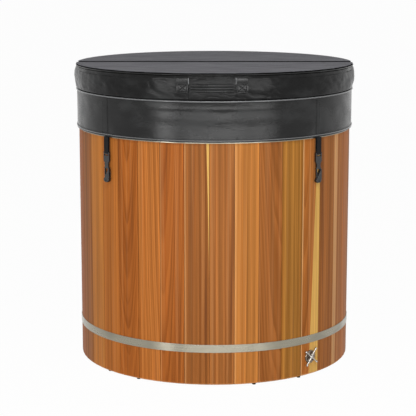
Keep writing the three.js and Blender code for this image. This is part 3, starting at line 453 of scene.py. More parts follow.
def webbing_weave():
    """Woven strap: ribs across the strap, crossed by long yarns."""
    yarn_pitch, rib_pitch = 0.0018, 0.0026
    bench, entry, leave = new_group("webbing_weave", {"Vector": "vector", "Yarn": "colour"})
    parts = bench.node("ShaderNodeSeparateXYZ", {0: entry["Vector"]}).outputs
    yarn = bench.math("SINE", bench.math("MULTIPLY", parts["X"], math.tau / yarn_pitch))
    along = bench.math("MULTIPLY", parts["Z"], math.tau / rib_pitch)
    lean = bench.math("MULTIPLY_ADD", yarn, 1.1, along)
    rib = bench.math("MULTIPLY_ADD", bench.math("SINE", lean), 0.5, 0.5)
    fuzz = bench.noise(entry["Vector"], (300.0, 300.0, 300.0), 2.0, 3.0)
    light = bench.math("MULTIPLY_ADD", rib, 0.9, bench.math("MULTIPLY_ADD", fuzz, 0.6, 0.35))
    bench.feed(leave["Color"], bench.shaded(entry["Yarn"], light))
    bench.feed(leave["Roughness"], bench.math("MULTIPLY_ADD", fuzz, 0.25, 0.55))
    bench.feed(leave["Height"], bench.math("MULTIPLY_ADD", fuzz, 0.3, rib))
    return bench.tree


def moulded_skin():
    """Moulded or painted surface: a fine spark-eroded grain and slight mottling."""
    bench, entry, leave = new_group(
        "moulded_skin", {"Vector": "vector", "Surface": "colour", "Rough": "value"})
    place = entry["Vector"]
    grain = bench.noise(place, (900.0, 900.0, 900.0), 0.9, 2.0)
    mottle = bench.noise(place, (38.0, 38.0, 38.0), 3.7, 4.0)
    light = bench.math("MULTIPLY_ADD", mottle, 0.5, bench.math("MULTIPLY_ADD", grain, 0.2, 0.66))
    bench.feed(leave["Color"], bench.shaded(entry["Surface"], light))
    bench.feed(leave["Roughness"], bench.math("MULTIPLY_ADD", mottle, 0.2, entry["Rough"]))
    bench.feed(leave["Height"], grain)
    return bench.tree


GROUP_MAKERS = {maker.__name__: maker for maker in (
    cedar_grain, vinyl_skin, linen_emboss, brushed_metal, webbing_weave, moulded_skin)}


def shader_group(name):
    """A shared shader group, made the first time that it is asked for."""
    return bpy.data.node_groups.get(name) or GROUP_MAKERS[name]()


def finish_material(name, group, values, relief, rotation=ORIGIN, shift=ORIGIN, **sockets):
    """A material whose colour, roughness and relief come from one shared group."""
    made = bpy.data.materials.get(name)
    if made:
        return made
    made = bpy.data.materials.new(name)
    made.use_nodes = True
    bench = Bench(made.node_tree)
    shader = made.node_tree.nodes["Principled BSDF"]
    place = bench.node("ShaderNodeTexCoord").outputs["Object"]
    mapping = bench.node("ShaderNodeMapping", {"Vector": place, "Location": shift,
                                               "Rotation": rotation})
    skin = bench.node("ShaderNodeGroup", node_tree=shader_group(group))
    for label, value in {"Vector": mapping.outputs[0], **values}.items():
        bench.feed(skin.inputs[label], value)
    bump = bench.node("ShaderNodeBump", {"Strength": 0.6, "Distance": relief,
                                         "Height": skin.outputs["Height"]})
    for label, value in (("Base Color", skin.outputs["Color"]), ("Normal", bump.outputs[0]),
                         ("Roughness", skin.outputs["Roughness"])):
        bench.feed(shader.inputs[label], value)
    for label, value in sockets.items():
        shader.inputs[label.replace("_", " ")].default_value = value
    return made


def around(angle, radius, height):
    """A point round the tub: the angle from the front, positive to the right."""
    return Vector((radius * math.sin(angle), -radius * math.cos(angle), height))


def spaced(count, start=0.0, end=1.0):
    """Even steps from start to end, with both ends."""
    return [start + (end - start) * step / count for step in range(count + 1)]


def smooth_step(value, low, high):
    """A share that eases from 0 at low to 1 at high."""
    part = min(max((value - low) / (high - low), 0.0), 1.0)
    return part * part * (3 - 2 * part)


def piece_from(bm, name, body, slot, *materials):
    mesh = bpy.data.meshes.new(name)
    bm.to_mesh(mesh)
    bm.free()
    stale = mesh.attributes.get("custom_normal")
    if stale:
        mesh.attributes.remove(stale)
    for material in materials:
        mesh.materials.append(material)
    mesh.shade_smooth()
    piece = bpy.data.objects.new(name, mesh)
    bpy.context.scene.collection.objects.link(piece)
    if body:
        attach(piece, body)
    return piece


def eased_copy(node, ease, crease):
    """A merged copy of a CAD node with its outer edges rounded."""
    bm = bmesh.new()
    bm.from_mesh(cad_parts[node].data)
    bmesh.ops.remove_doubles(bm, verts=bm.verts, dist=WELD)
    bmesh.ops.dissolve_limit(bm, angle_limit=FLAT_ANGLE, verts=bm.verts, edges=bm.edges)
    edges = [edge for edge in bm.edges
             if edge.is_manifold and edge.is_convex and edge.calc_face_angle() > crease]
    bmesh.ops.bevel(bm, geom=edges, offset=ease, offset_type="OFFSET", affect="EDGES", segments=2,
                    profile=0.5, material=-1, clamp_overlap=True)
    for face in bm.faces:
        face.material_index = 0
    return bm


def refined(node, name, slot, material, ease, crease=CREASE_ANGLE, body="tub"):
    """An eased copy that stands for its CAD node."""
    piece = piece_from(eased_copy(node, ease, crease), name, body, slot, material)
    piece.data.set_sharp_from_angle(angle=SHARP_ANGLE)
    piece.modifiers.new("Even normals", "WEIGHTED_NORMAL").keep_sharp = True
    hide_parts(node)
    return piece


def loft(bm, loops):
    """Draws a closed loop of points out through the next ones in order and closes both ends."""
    verts = [bm.verts.new(point) for point in loops[0]]
    first = last = [bm.edges.new(pair) for pair in zip(verts, verts[1:] + verts[:1])]
    for loop in loops[1:]:
        made = bmesh.ops.extrude_edge_only(bm, edges=last)["geom"]
        last = [item for item in made if isinstance(item, bmesh.types.BMEdge)]
        drawn = {tuple(item.co): item for item in made if isinstance(item, bmesh.types.BMVert)}
        verts = [drawn[tuple(vert.co)] for vert in verts]
        for vert, point in zip(verts, loop):
            vert.co = point
    for ring in (first, last):
        bmesh.ops.edgeloop_fill(bm, edges=ring)
    bmesh.ops.recalc_face_normals(bm, faces=bm.faces)


def patch(bm, columns, rows, place):
    """A grid laid on a surface: place gives the point for shares across and up."""
    made = bmesh.ops.create_grid(bm, x_segments=columns, y_segments=rows, size=0.5)
    for vert in made["verts"]:
        vert.co = place(vert.co.x + 0.5, vert.co.y + 0.5)


def thicken(piece, gauge, offset, levels=0):
    """Gives a sheet its thickness and, if asked, smooths it."""
    wall = piece.modifiers.new("Gauge", "SOLIDIFY")
    wall.thickness = gauge
    wall.offset = offset
    wall.use_even_offset = True
    if levels:
        soft = piece.modifiers.new("Soften", "SUBSURF")
        soft.levels = soft.render_levels = levels


def sew(bm, surface, start, end, cover):
    """Stitches in a straight row on a surface that is given by arc and height."""
    run = math.dist(start, end)
    count = max(1, round(run / cover.stitch_pitch))
    step = (Vector(end) - Vector(start)) / count
    reach = step.normalized() * cover.stitch_length / 2
    for index in range(count):
        middle = Vector(start) + step * (index + 0.5)
        tail, head = surface(*(middle - reach)), surface(*(middle + reach))
        centre = (tail + head) / 2
        along = (head - tail).normalized()
        out = Vector((centre.x, centre.y, 0.0)).normalized()
        side = along.cross(out).normalized()
        turn = Matrix((along, side, side.cross(along))).transposed().to_4x4()
        stretch = Matrix.Diagonal((cover.stitch_length / 2, cover.stitch_girth,
                                   cover.stitch_girth, 1.0))
        bmesh.ops.create_icosphere(bm, subdivisions=1, radius=1.0,
                                   matrix=Matrix.Translation(centre) @ turn @ stretch)


def line_distance(point, start, end):
    """How far a point lies from a straight line between two others."""
    run, off = Vector(end) - Vector(start), Vector(point) - Vector(start)
    part = min(max(off.dot(run) / run.length_squared, 0.0), 1.0)
    return (off - run * part).length


# A stripe or edge as narrow as this one doesn't show, and a place as far as this one is off the board
NO_BAND = -0.01
FAR = 2.0
# One stave's board, in metres on its face: tone and darkness of the late wood, pith across and behind,
# lean and width of the rings, resin streaks, sapwood stripe, and pale edge with its paleness, where a thin
# band right at the edge is a painted highlight of the eased edge
Board = namedtuple("Board", "tone dark pith depth lean ring streaks stripe half slant edge sliver pale",
                   defaults=(FAR, NO_BAND, 0.0, FAR, NO_BAND, 0.35))
BOARDS = {
    "stave_01": Board("fawn", 0.44, 0.34, 0.08, 0.01, 0.0046, 0.8),
    "stave_02": Board("honey", 0.56, -0.30, 0.10, 0.01, 0.0050, 0.05, edge=-0.046, sliver=0.0075),
    "stave_03": Board("tawny", 0.60, 0.03, 0.16, 0.02, 0.0030, 0.15),
    "stave_04": Board("olive", 0.46, -0.36, 0.06, 0.01, 0.0065, 0.15),
    "stave_05": Board("amber", 0.5, -0.03, 0.05, 0.03, 0.0045, 0.8, stripe=0.048, half=0.034,
                      slant=-0.037, edge=-0.046, sliver=0.004, pale=1.0),
    "stave_06": Board("fawn", 0.5, 0.28, 0.05, 0.02, 0.0060, 0.8),
    "stave_07": Board("fawn", 0.7, -0.25, 0.08, 0.02, 0.0070, 0.2, edge=-0.026, sliver=0.014, pale=1.0),
    "stave_08": Board("amber", 0.74, 0.05, 0.12, 0.03, 0.0040, 0.35),
    "stave_29": Board("umber", 0.74, 0.26, 0.05, 0.02, 0.0070, 0.3),
    "stave_30": Board("fawn", 0.55, -0.32, 0.06, 0.02, 0.0080, 0.5),
    "stave_31": Board("honey", 0.78, 0.30, 0.08, 0.02, 0.0080, 0.1),
    "stave_32": Board("amber", 0.66, -0.24, 0.10, 0.02, 0.0070, 0.15),
    "stave_33": Board("umber", 0.62, -0.004, 0.08, 0.03, 0.0032, 0.7),
    "stave_34": Board("amber", 0.58, 0.07, 0.14, 0.012, 0.0034, 0.1),
    "stave_35": Board("umber", 0.56, -0.03, 0.09, 0.016, 0.0034, 0.4, edge=-0.046, sliver=0.004),
    "stave_36": Board("tawny", 0.52, 0.31, 0.05, 0.01, 0.0046, 0.8, stripe=0.0642, half=0.020,
                      slant=0.020, edge=-0.046, sliver=0.006),
}
COMMON_TONES = ("honey", "amber", "amber", "fawn", "umber", "olive")
# How the late wood's red, green and blue darken against each other
LATE_CAST = (1.0, 0.9, 0.66)


def board_for(name, draw):
    """The board of a stave: a noted one, or one drawn from the common tones."""
    drawn = Board(draw.choice(COMMON_TONES), draw.uniform(0.48, 0.66), draw.uniform(-0.32, 0.32),
                  draw.uniform(0.05, 0.14), draw.uniform(-0.03, 0.03), draw.uniform(0.0035, 0.008),
                  draw.uniform(0.05, 0.5))
    return BOARDS.get(name, drawn)


class TUB_OT_staves(bpy.types.Operator):
    """Finish the cedar staves"""
    bl_idname = "tub.staves"
    bl_label = "Staves"

    draw_seed = 36
    grain_step = 1.37

    def execute(self, context):
        wood = context.scene.tub_wood
        draw = random.Random(self.draw_seed)
        for index, name in enumerate(STAVE_NAMES):
            board = board_for(name, draw)
            turn = FIRST_STAVE + index * STAVE_PITCH
            tone = Vector(getattr(wood, board.tone))
            dark = [level * board.dark * cast for level, cast in zip(tone, LATE_CAST)]
            material = finish_material(
                f"cedar_{name}", "cedar_grain",
                {"Wood": rgba(tone), "Late Wood": rgba(dark), "Streak": rgba(wood.streak),
                 "Sapwood": rgba(wood.sapwood), "Pith Across": board.pith, "Pith Depth": board.depth,
                 "Lean": board.lean, "Ring": board.ring, "Streaks": board.streaks,
                 "Seed": index * self.grain_step, "Stripe Across": board.stripe, "Stripe Half": board.half,
                 "Stripe Slant": board.slant, "Edge Wood": rgba(tone.lerp(wood.pale_wood_and_edge_highlight, board.pale)),
                 "Edge Across": board.edge, "Edge Half": board.sliver, "Board Half": STAVE_HALF,
                 "Foot": STAVE_FOOT + wood.foot_chamfer},
                wood.grain_relief, rotation=(0.0, 0.0, -turn), shift=(0.0, TUB_RADIUS, 0.0),
                Specular_IOR_Level=0.12)
            refined(name, f"cedar_{name}", "cedar", material, wood.edge_ease)
        return {"FINISHED"}


# Floor boards and joists lie down, so the grain's upright is turned along X or Y: tone, seed and turn
FLOOR_WOOD = {
    "floor_panel": ("honey", 3.1, (0.0, math.pi / 2, 0.0)),
    "left_joist": ("fawn", 5.2, (math.pi / 2, 0.0, 0.0)),
    "centre_joist": ("amber", 6.4, (math.pi / 2, 0.0, 0.0)),
    "right_joist": ("fawn", 7.7, (math.pi / 2, 0.0, 0.0)),
}
# Where the levelling pads stand round the foot, in degrees, and how far in from the wall's face
PADS = ((-50.0, 0.0120), (-33.0, 0.0100), (16.4, 0.0060), (37.4, 0.0065))
# Half section of a pad: radius and height
PAD_PROFILE = ((0.0, 0.0), (0.0062, 0.0), (0.0070, 0.0008), (0.0070, 0.0030), (0.0062, 0.0037),
               (0.0, 0.0037))


class TUB_OT_base(bpy.types.Operator):
    """Finish the floor panel, the joists and the levelling pads"""
    bl_idname = "tub.base"
    bl_label = "Floor, joists and pads"

    late_wood = 0.6

    def execute(self, context):
        wood = context.scene.tub_wood
        common = {"Streak": rgba(wood.streak), "Sapwood": rgba(wood.sapwood), "Pith Depth": 0.09,
                  "Lean": 0.02, "Ring": 0.005, "Streaks": 0.2, "Stripe Half": NO_BAND,
                  "Edge Half": NO_BAND, "Board Half": FAR, "Foot": -FAR}
        for node, (label, seed, rotation) in FLOOR_WOOD.items():
            tone = Vector(getattr(wood, label))
            material = finish_material(
                f"cedar_{node}", "cedar_grain",
                {**common, "Wood": rgba(tone), "Late Wood": rgba(tone * self.late_wood), "Seed": seed},
                wood.grain_relief, rotation)
            refined(node, f"cedar_{node}", "floor_cedar", material, wood.edge_ease)
        self.pads(wood)
        return {"FINISHED"}

    def pads(self, wood):
        """Small rubber pads that level the tub, just under the wall's outer edge."""
        rubber = finish_material("pad_rubber", "moulded_skin",
                                 {"Surface": rgba(wood.pad), "Rough": 0.55}, 0.0001,
                                 Specular_IOR_Level=0.1)
        for index, (angle, inset) in enumerate(PADS, start=1):
            bm = bmesh.new()
            verts = [bm.verts.new((radius, 0.0, height)) for radius, height in PAD_PROFILE]
            edges = [bm.edges.new(pair) for pair in zip(verts, verts[1:])]
            bmesh.ops.spin(bm, geom=verts + edges, cent=ORIGIN, axis=UPRIGHT, angle=math.tau,
                           steps=20, use_merge=True)
            bmesh.ops.remove_doubles(bm, verts=bm.verts, dist=WELD)
            bmesh.ops.recalc_face_normals(bm, faces=bm.faces)
            place = around(math.radians(angle), TUB_RADIUS - inset, 0.0)
            bmesh.ops.translate(bm, verts=bm.verts, vec=place)
            pad = piece_from(bm, f"levelling_pad_{index}", "tub", "rubber", rubber)
            pad.data.set_sharp_from_angle(angle=SHARP_ANGLE)


class TUB_OT_hoops(bpy.types.Operator):
    """Finish the steel hoops"""
    bl_idname = "tub.hoops"
    bl_label = "Hoops"

    def execute(self, context):
        metal = context.scene.tub_metal
        for node, wear in (("lower_hoop", 0.16), ("upper_hoop", 0.1)):
            steel = finish_material(f"{node}_steel", "brushed_metal",
                                    {"Metal": rgba(metal.steel), "Wear": wear}, 0.00006,
                                    Metallic=1.0, Anisotropic=0.85)
            tangent = steel.node_tree.nodes.new("ShaderNodeTangent")
            tangent.direction_type = "UV_MAP"
            tangent.uv_map = "strip"
            shader = steel.node_tree.nodes["Principled BSDF"]
            steel.node_tree.links.new(tangent.outputs[0], shader.inputs["Tangent"])
            hoop = refined(node, f"steel_{node}", "steel", steel, metal.hoop_ease)
            self.unroll(hoop.data)
        return {"FINISHED"}

    def unroll(self, mesh):
        """A UV map whose first axis runs up the strip, so that the brushing spreads light upwards."""
        strip = mesh.uv_layers.new(name="strip")
        for face in mesh.polygons:
            middle = math.atan2(face.center.x, -face.center.y)
            for corner in face.loop_indices:
                point = mesh.vertices[mesh.loops[corner].vertex_index].co
                angle = math.atan2(point.x, -point.y)
                angle += math.tau * round((middle - angle) / math.tau)
                strip.data[corner].uv = (point.z, angle * TUB_RADIUS)


class TUB_OT_drain(bpy.types.Operator):
    """Finish the drain valve, its rose and its cross handle"""
    bl_idname = "tub.drain"
    bl_label = "Drain"

    crease = math.radians(60)

    def execute(self, context):
        metal = context.scene.tub_metal
        chrome = finish_material("drain_chrome", "moulded_skin",
                                 {"Surface": rgba(metal.chrome), "Rough": 0.02}, 0.000002, Metallic=1.0)
        # Darker, warm chrome on the rose as a painted reflection of the cedar and of shade.
        dark = finish_material("rose_chrome_reflection", "moulded_skin",
                               {"Surface": rgba(metal.rose), "Rough": 0.06}, 0.000002, Metallic=1.0)
        brass = finish_material("drain_brass", "moulded_skin",
                                {"Surface": rgba(metal.brass), "Rough": 0.18}, 0.00004, Metallic=1.0)
        rubber = finish_material("washer_rubber", "moulded_skin",
                                 {"Surface": rgba(metal.washer), "Rough": 0.5}, 0.0001)
        for node, name, slot, material, ease, body in (
                ("drain_escutcheon", "chrome_rose", "chrome", dark, 0.0006, "tub"),
                ("cross_handle", "chrome_cross_handle", "chrome", chrome, 0.0003, "valve_handle"),
                ("drain_strainer", "chrome_strainer", "chrome", chrome, 0.0004, "tub"),
                ("drain_valve_body", "brass_valve_body", "brass", brass, 0.0006, "tub"),
                ("valve_washer", "rubber_valve_washer", "rubber", rubber, 0.0005, "valve_stem")):
            refined(node, name, slot, material, ease, self.crease, body)
        return {"FINISHED"}


def side_radius(height, cover):
    """Radius of the jacket's round side, which swells between its seams."""
    part = min(max((height - COVER_BASE) / COVER_THICKNESS, 0.0), 1.0)
    return COVER_RADIUS + cover.bulge * math.sin(math.pi * part)


def fold_setback(drop, cover):
    """How far the rounded top edge along the fold stands back, at a depth below the top."""
    part = min(max(1 - drop / cover.fold_round, 0.0), 1.0)
    return cover.fold_round * (1 - math.sqrt(1 - part ** 2))


def half_outline(radius, fold, height, round_steps=270, fold_steps=80, corner_steps=7):
    """Outline of a cover half: round at the front, straight along the fold, with eased corners."""
    spread = math.acos(fold / radius)
    ease = 0.011 * min(1.0, (radius - fold) / 0.12)
    reach = spread - ease / radius
    bow = [around(angle, radius, height) for angle in spaced(round_steps, -reach, reach)]
    left, right = around(-spread, radius, height), around(spread, radius, height)
    inward = (left - right).normalized() * ease
    straight = [(right + inward).lerp(left - inward, part) for part in spaced(fold_steps)]
    turns = [interpolate_bezier(start, start.lerp(corner, 0.6), end.lerp(corner, 0.6), end,
                                corner_steps)[1:-1]
             for start, corner, end in ((bow[-1], right, straight[0]), (straight[-1], left, bow[0]))]
    return bow + turns[0] + straight + turns[1]


class TUB_OT_jackets(bpy.types.Operator):
    """Build the padded cover halves"""
    bl_idname = "tub.jackets"
    bl_label = "Cover jackets"

    # Heights at the rim: the top panel's edge, the flange's top and the seam under the flange
    top_edge = 0.0008
    lip = 0.0052
    seam_height = 0.003

    def execute(self, context):
        cover = context.scene.tub_cover
        side, top = side_vinyl(cover), top_vinyl_and_sheen(cover)
        for half, turn in HALVES:
            bm = bmesh.new()
            inner, edge = FOLD_HALF + cover.fold_draw, FOLD_HALF + cover.fold_round
            under = self.panel(half_outline(GROOVE_RADIUS - 0.004, inner + 0.004, COVER_BASE), 0.0)
            crown = self.panel(half_outline(COVER_RADIUS - 0.006, edge, COVER_TOP), cover.crown)
            loft(bm, under[::-1] + [half_outline(*level) for level in self.levels(cover)] + crown)
            bmesh.ops.rotate(bm, verts=bm.verts, cent=(0, 0, 0), matrix=Matrix.Rotation(turn, 3, "Z"))
            edge -= 0.004
            for face in bm.faces:
                middle = face.calc_center_median()
                drop = COVER_TOP - middle.z
                low = self.lip + cover.flange
                seam = self.top_edge < drop < self.lip or low < drop < low + self.seam_height
                # The fold side and the rim's seam grooves take the unreflecting vinyl as painted shade.
                if abs(middle.y) <= edge:
                    face.material_index = 3 if middle.z > COVER_BASE + 0.012 else 0
                elif drop < low + self.seam_height:
                    face.material_index = 1 if drop <= self.top_edge else 3 if seam else 2
            self.relief(bm, cover)
            piece = piece_from(bm, f"{half}_cover_cushion", f"{half}_cover", "vinyl", side, top,
                               strap_vinyl(cover), fold_shade_vinyl(cover))
            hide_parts(f"{half}_jacket", f"{half}_foam_core")
            self.stitches(half, turn, cover)
        return {"FINISHED"}

    def panel(self, outline, crown):
        """Loops that shrink from an outline to its middle, which rises by the crown."""
        middle = sum(outline, Vector()) / len(outline)
        return [[middle.lerp(point, 1 - part) + Vector((0.0, 0.0, crown * part * (2 - part)))
                 for point in outline] for part in spaced(26, 0.03, 0.995)]

    def levels(self, cover):
        """Levels from the lower seam up to the rim's edge: radius, fold line and height."""
        inner = FOLD_HALF + cover.fold_draw
        seam = COVER_BASE + 0.0072
        groove = [(GROOVE_RADIUS, inner, COVER_BASE + 0.0008), (GROOVE_RADIUS, inner, seam)]
        rim = COVER_TOP - self.lip - cover.flange - 0.0130
        side = []
        for part in spaced(20):
            height = seam + 0.0024 + part * (rim - seam - 0.0024)
            drawn = cover.fold_draw * math.sin(math.pi * part) + fold_setback(COVER_TOP - height, cover)
            side.append((side_radius(height, cover), FOLD_HALF + drawn, height))
        lip = side_radius(rim, cover)
        deep, low = cover.seam_depth, self.lip + cover.flange
        roll = [(lip - drawn, FOLD_HALF + fold_setback(drop, cover), COVER_TOP - drop) for drawn, drop in (
            (0.0001, low + 0.0112), (0.0005, low + 0.0092), (0.0012, low + 0.0076), (0.0023, low + 0.0062),
            (0.0034, low + 0.0048), (deep, low + 0.0030), (deep, low + 0.0006), (0.0012, low),
            (0.0004, low - 0.3 * cover.flange), (0.0004, self.lip + 0.3 * cover.flange), (0.0012, self.lip),
            (1.2 * deep, self.lip - 0.0004), (1.2 * deep, 0.0014), (0.0022, 0.0009), (0.0022, 0.0004),
            (0.0045, 0.0))]
        return groove + side + roll

    def relief(self, bm, cover):
        """Wrinkles and fullness on the round side, and slow waves on the top."""
        bm.normal_update()
        moves = []
        for vert in bm.verts:
            x, y, z = vert.co
            spread = math.hypot(x, y) / COVER_RADIUS
            rise = cover.rim_rise * smooth_step(z, COVER_TOP - 0.045, COVER_TOP) * spread ** 6
            rise *= max(0.0, -y / COVER_RADIUS) ** 1.3
            if z > COVER_TOP - 0.001:
                slack = smooth_step(1 - spread, 0.0, 0.10) * smooth_step(abs(y), 0.02, 0.08)
                waves = noise.noise(vert.co * 6.0) + 0.4 * noise.noise(vert.co * 17.0)
                rise += slack * cover.wrinkle * waves
                lift = 0.0
            elif z > COVER_BASE + 0.012:
                facing = max(0.0, vert.normal.dot(Vector((x, y, 0.0)).normalized()))
                skew = Vector((x * 16.0 + z * 20.0, y * 16.0, z * 22.0))
                calm = 1 - 0.55 * math.exp(-(x / 0.13) ** 4) if y < 0 else 1.0
                lift = calm * cover.wrinkle * (0.8 * noise.noise(skew) + 0.6 * noise.noise(skew * 2.2))
                full = math.sin(math.pi * (z - COVER_BASE) / COVER_THICKNESS) ** 2
                lift = facing * (lift + cover.swell * full * math.exp(-(y / 0.11) ** 2))
            else:
                lift = 0.0
            moves.append((vert, vert.normal * lift + Vector((0.0, 0.0, rise))))
        for vert, move in moves:
            vert.co += move

    def stitches(self, half, turn, cover):
        """A row of stitches beside the rim seam."""
        def rim(arc, height):
            angle = arc / COVER_RADIUS
            return around(angle + turn, side_radius(height, cover) + 0.0003, height)
        bm = bmesh.new()
        limit = COVER_RADIUS * (math.pi / 2 - 0.03)
        height = COVER_TOP - self.lip - cover.flange - 0.0135
        sew(bm, rim, (-limit, height), (limit, height), cover)
        piece_from(bm, f"{half}_rim_stitches", f"{half}_cover", "webbing", thread_finish(cover))


def side_vinyl(cover):
    return finish_material("side_vinyl", "vinyl_skin",
                           {"Vinyl": rgba(cover.side_vinyl), "Scuff And Sheen": rgba(cover.scuff_and_sheen), "Creases": 0.3},
                           0.0016, Specular_IOR_Level=0.15)


def skirt_vinyl(cover):
    """The smoother, glossier vinyl of the skirt."""
    return finish_material("skirt_vinyl", "vinyl_skin",
                           {"Vinyl": rgba(cover.side_vinyl), "Scuff And Sheen": rgba(cover.scuff_and_sheen), "Creases": 0.12},
                           0.0016, Specular_IOR_Level=0.26)


def fold_shade_vinyl(cover):
    """Vinyl without reflection, as painted shade along the fold and in the rim's seam grooves."""
    return finish_material("fold_shade_vinyl", "vinyl_skin",
                           {"Vinyl": rgba(cover.side_vinyl), "Scuff And Sheen": rgba(cover.side_vinyl),
                            "Creases": 0.1},
                           0.0008, Specular_IOR_Level=0.0)


def strap_vinyl(cover):
    """The glossier vinyl of the carry handle."""
    return finish_material("strap_vinyl", "vinyl_skin",
                           {"Vinyl": rgba(cover.side_vinyl), "Scuff And Sheen": rgba(cover.scuff_and_sheen), "Creases": 0.1},
                           0.0008, Specular_IOR_Level=0.3)


# Grey vinyl as a painted highlight on the piping, the hem's ridge and the tabs' edges.
def highlight_bead_vinyl(cover):
    return finish_material("highlight_bead_vinyl", "moulded_skin", {"Surface": rgba(cover.bead), "Rough": 0.12},
                           0.00002, Specular_IOR_Level=0.8)


# The top panel's grey is partly painted sheen from light grazing the top.
def top_vinyl_and_sheen(cover):
    return finish_material("top_vinyl_and_sheen", "linen_emboss",
                           {"Vinyl": rgba(cover.top_vinyl_and_sheen), "Scuff And Sheen": rgba(cover.top_scuff_and_sheen)}, 0.0004,
                           Specular_IOR_Level=0.12)


def thread_finish(cover):
    return finish_material("bonded_thread", "webbing_weave", {"Yarn": rgba(cover.thread)}, 0.0001,
                           Specular_IOR_Level=0.1)


class TUB_OT_hinge(bpy.types.Operator):
    """Build the hinge strip that joins the cover halves along the fold"""
    bl_idname = "tub.hinge"
    bl_label = "Fold hinge"

    def execute(self, context):
        cover = context.scene.tub_cover
        half_length = COVER_RADIUS - 0.008
        reach = 0.017
        bottom = 0.0095
        sharpness = 900.0

        def place(along, over):
            off = (over - 0.5) * 2 * reach
            back = max(abs(off) - FOLD_HALF, 0.0) / cover.fold_round
            edge = cover.fold_round * (1 - math.sqrt(1 - (1 - back) ** 2)) - 0.0010
            drop = -math.log(math.exp(-sharpness * edge) + math.exp(-sharpness * bottom)) / sharpness
            return Vector(((along - 0.5) * 2 * half_length, off, COVER_TOP - drop))

        bm = bmesh.new()
        patch(bm, 96, 24, place)
        # The strip takes the unreflecting vinyl, which renders it black as painted shade in the fold.
        strip = piece_from(bm, "fold_hinge_strip", None, "vinyl", fold_shade_vinyl(cover))
        thicken(strip, 0.0008, -1.0)
        section = [place(0.5, over) for over in spaced(24)]
        width = sum(math.dist(*pair) for pair in zip(section, section[1:]))
        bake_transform(strip)
        return {"FINISHED"}


# How far the skirt stands out, by the distance below its piping: a shoulder, two level folds and a flare.
SKIRT_FOLDS = ((0.000, 0.0), (0.008, 0.00141), (0.014, 0.00225), (0.022, 0.00260), (0.032, 0.00173),
               (0.040, 0.00166), (0.054, 0.00227), (0.062, 0.00230), (0.082, 0.00143), (0.092, 0.00155),
               (0.140, 0.00380), (0.150, 0.00420))


def curve_through(points, place):
    """Height at a place on the smooth curve through the points."""
    index = min(max(bisect.bisect(points, (place,)) - 1, 0), len(points) - 2)
    first, last = points[index], points[index + 1]
    before, after = points[max(index - 1, 0)], points[min(index + 2, len(points) - 1)]
    span = last[0] - first[0]
    leave = span * (last[1] - before[1]) / (last[0] - before[0])
    arrive = span * (after[1] - first[1]) / (after[0] - first[0])
    part = min(max((place - first[0]) / span, 0.0), 1.0)
    rest = 1 - part
    ease = part * part * (3 - 2 * part)
    return first[1] + ease * (last[1] - first[1]) + part * rest * (rest * leave - part * arrive)


def drape(angle, height, cover):
    """How far the skirt's soft folds stand out from its plain cylinder."""
    part = min(max((height - SKIRT_HEM) / (SKIRT_TOP - SKIRT_HEM), 0.0), 1.0)
    free = math.sin(math.pi * min(part, 0.96)) ** 0.8
    arc = angle * SKIRT_INNER
    lean = noise.noise(Vector((arc * 13.0 + height * 12.0, height * 15.0 - arc * 5.0, 6.1)))
    ripple = noise.noise(Vector((arc * 3.4, height * 34.0, 1.3)))
    pull = math.exp(-((abs(angle) - 1.0) / 0.33) ** 2)
    drift = 0.005 * noise.noise(Vector((arc * 2.2, 4.7, 1.3)))
    strength = 0.4 + 0.6 * math.cos(angle) ** 4 + 0.3 * noise.noise(Vector((arc * 3.1, 9.2, 2.6)))
    below = max(SKIRT_TOP - 2 * cover.piping_radius - height, 0.0)
    folds = strength * curve_through(SKIRT_FOLDS, max(below + drift * min(below / 0.02, 1.0), 0.0))
    folds += cover.drape * free * ((0.12 + 0.5 * pull) * lean + 0.12 * ripple)
    held = max(math.exp(-((angle - strap) / 0.06) ** 4) for strap in STRAP_ANGLES.values())
    folds *= 1 - held * smooth_step(below, 0.06, 0.115)
    ends = 1 - 0.8 * smooth_step(abs(math.sin(angle)), 0.90, 0.995)
    return max(0.0, ends * folds)


def skirt_surface(turn, cover, lift=0.0):
    """The outer face of a skirt half, by arc and height, raised by lift."""
    def place(arc, height):
        angle = arc / SKIRT_INNER
        radius = SKIRT_INNER + cover.skirt_gauge + drape(angle + turn, height, cover) + lift
        return around(angle + turn, radius, height)
    return place


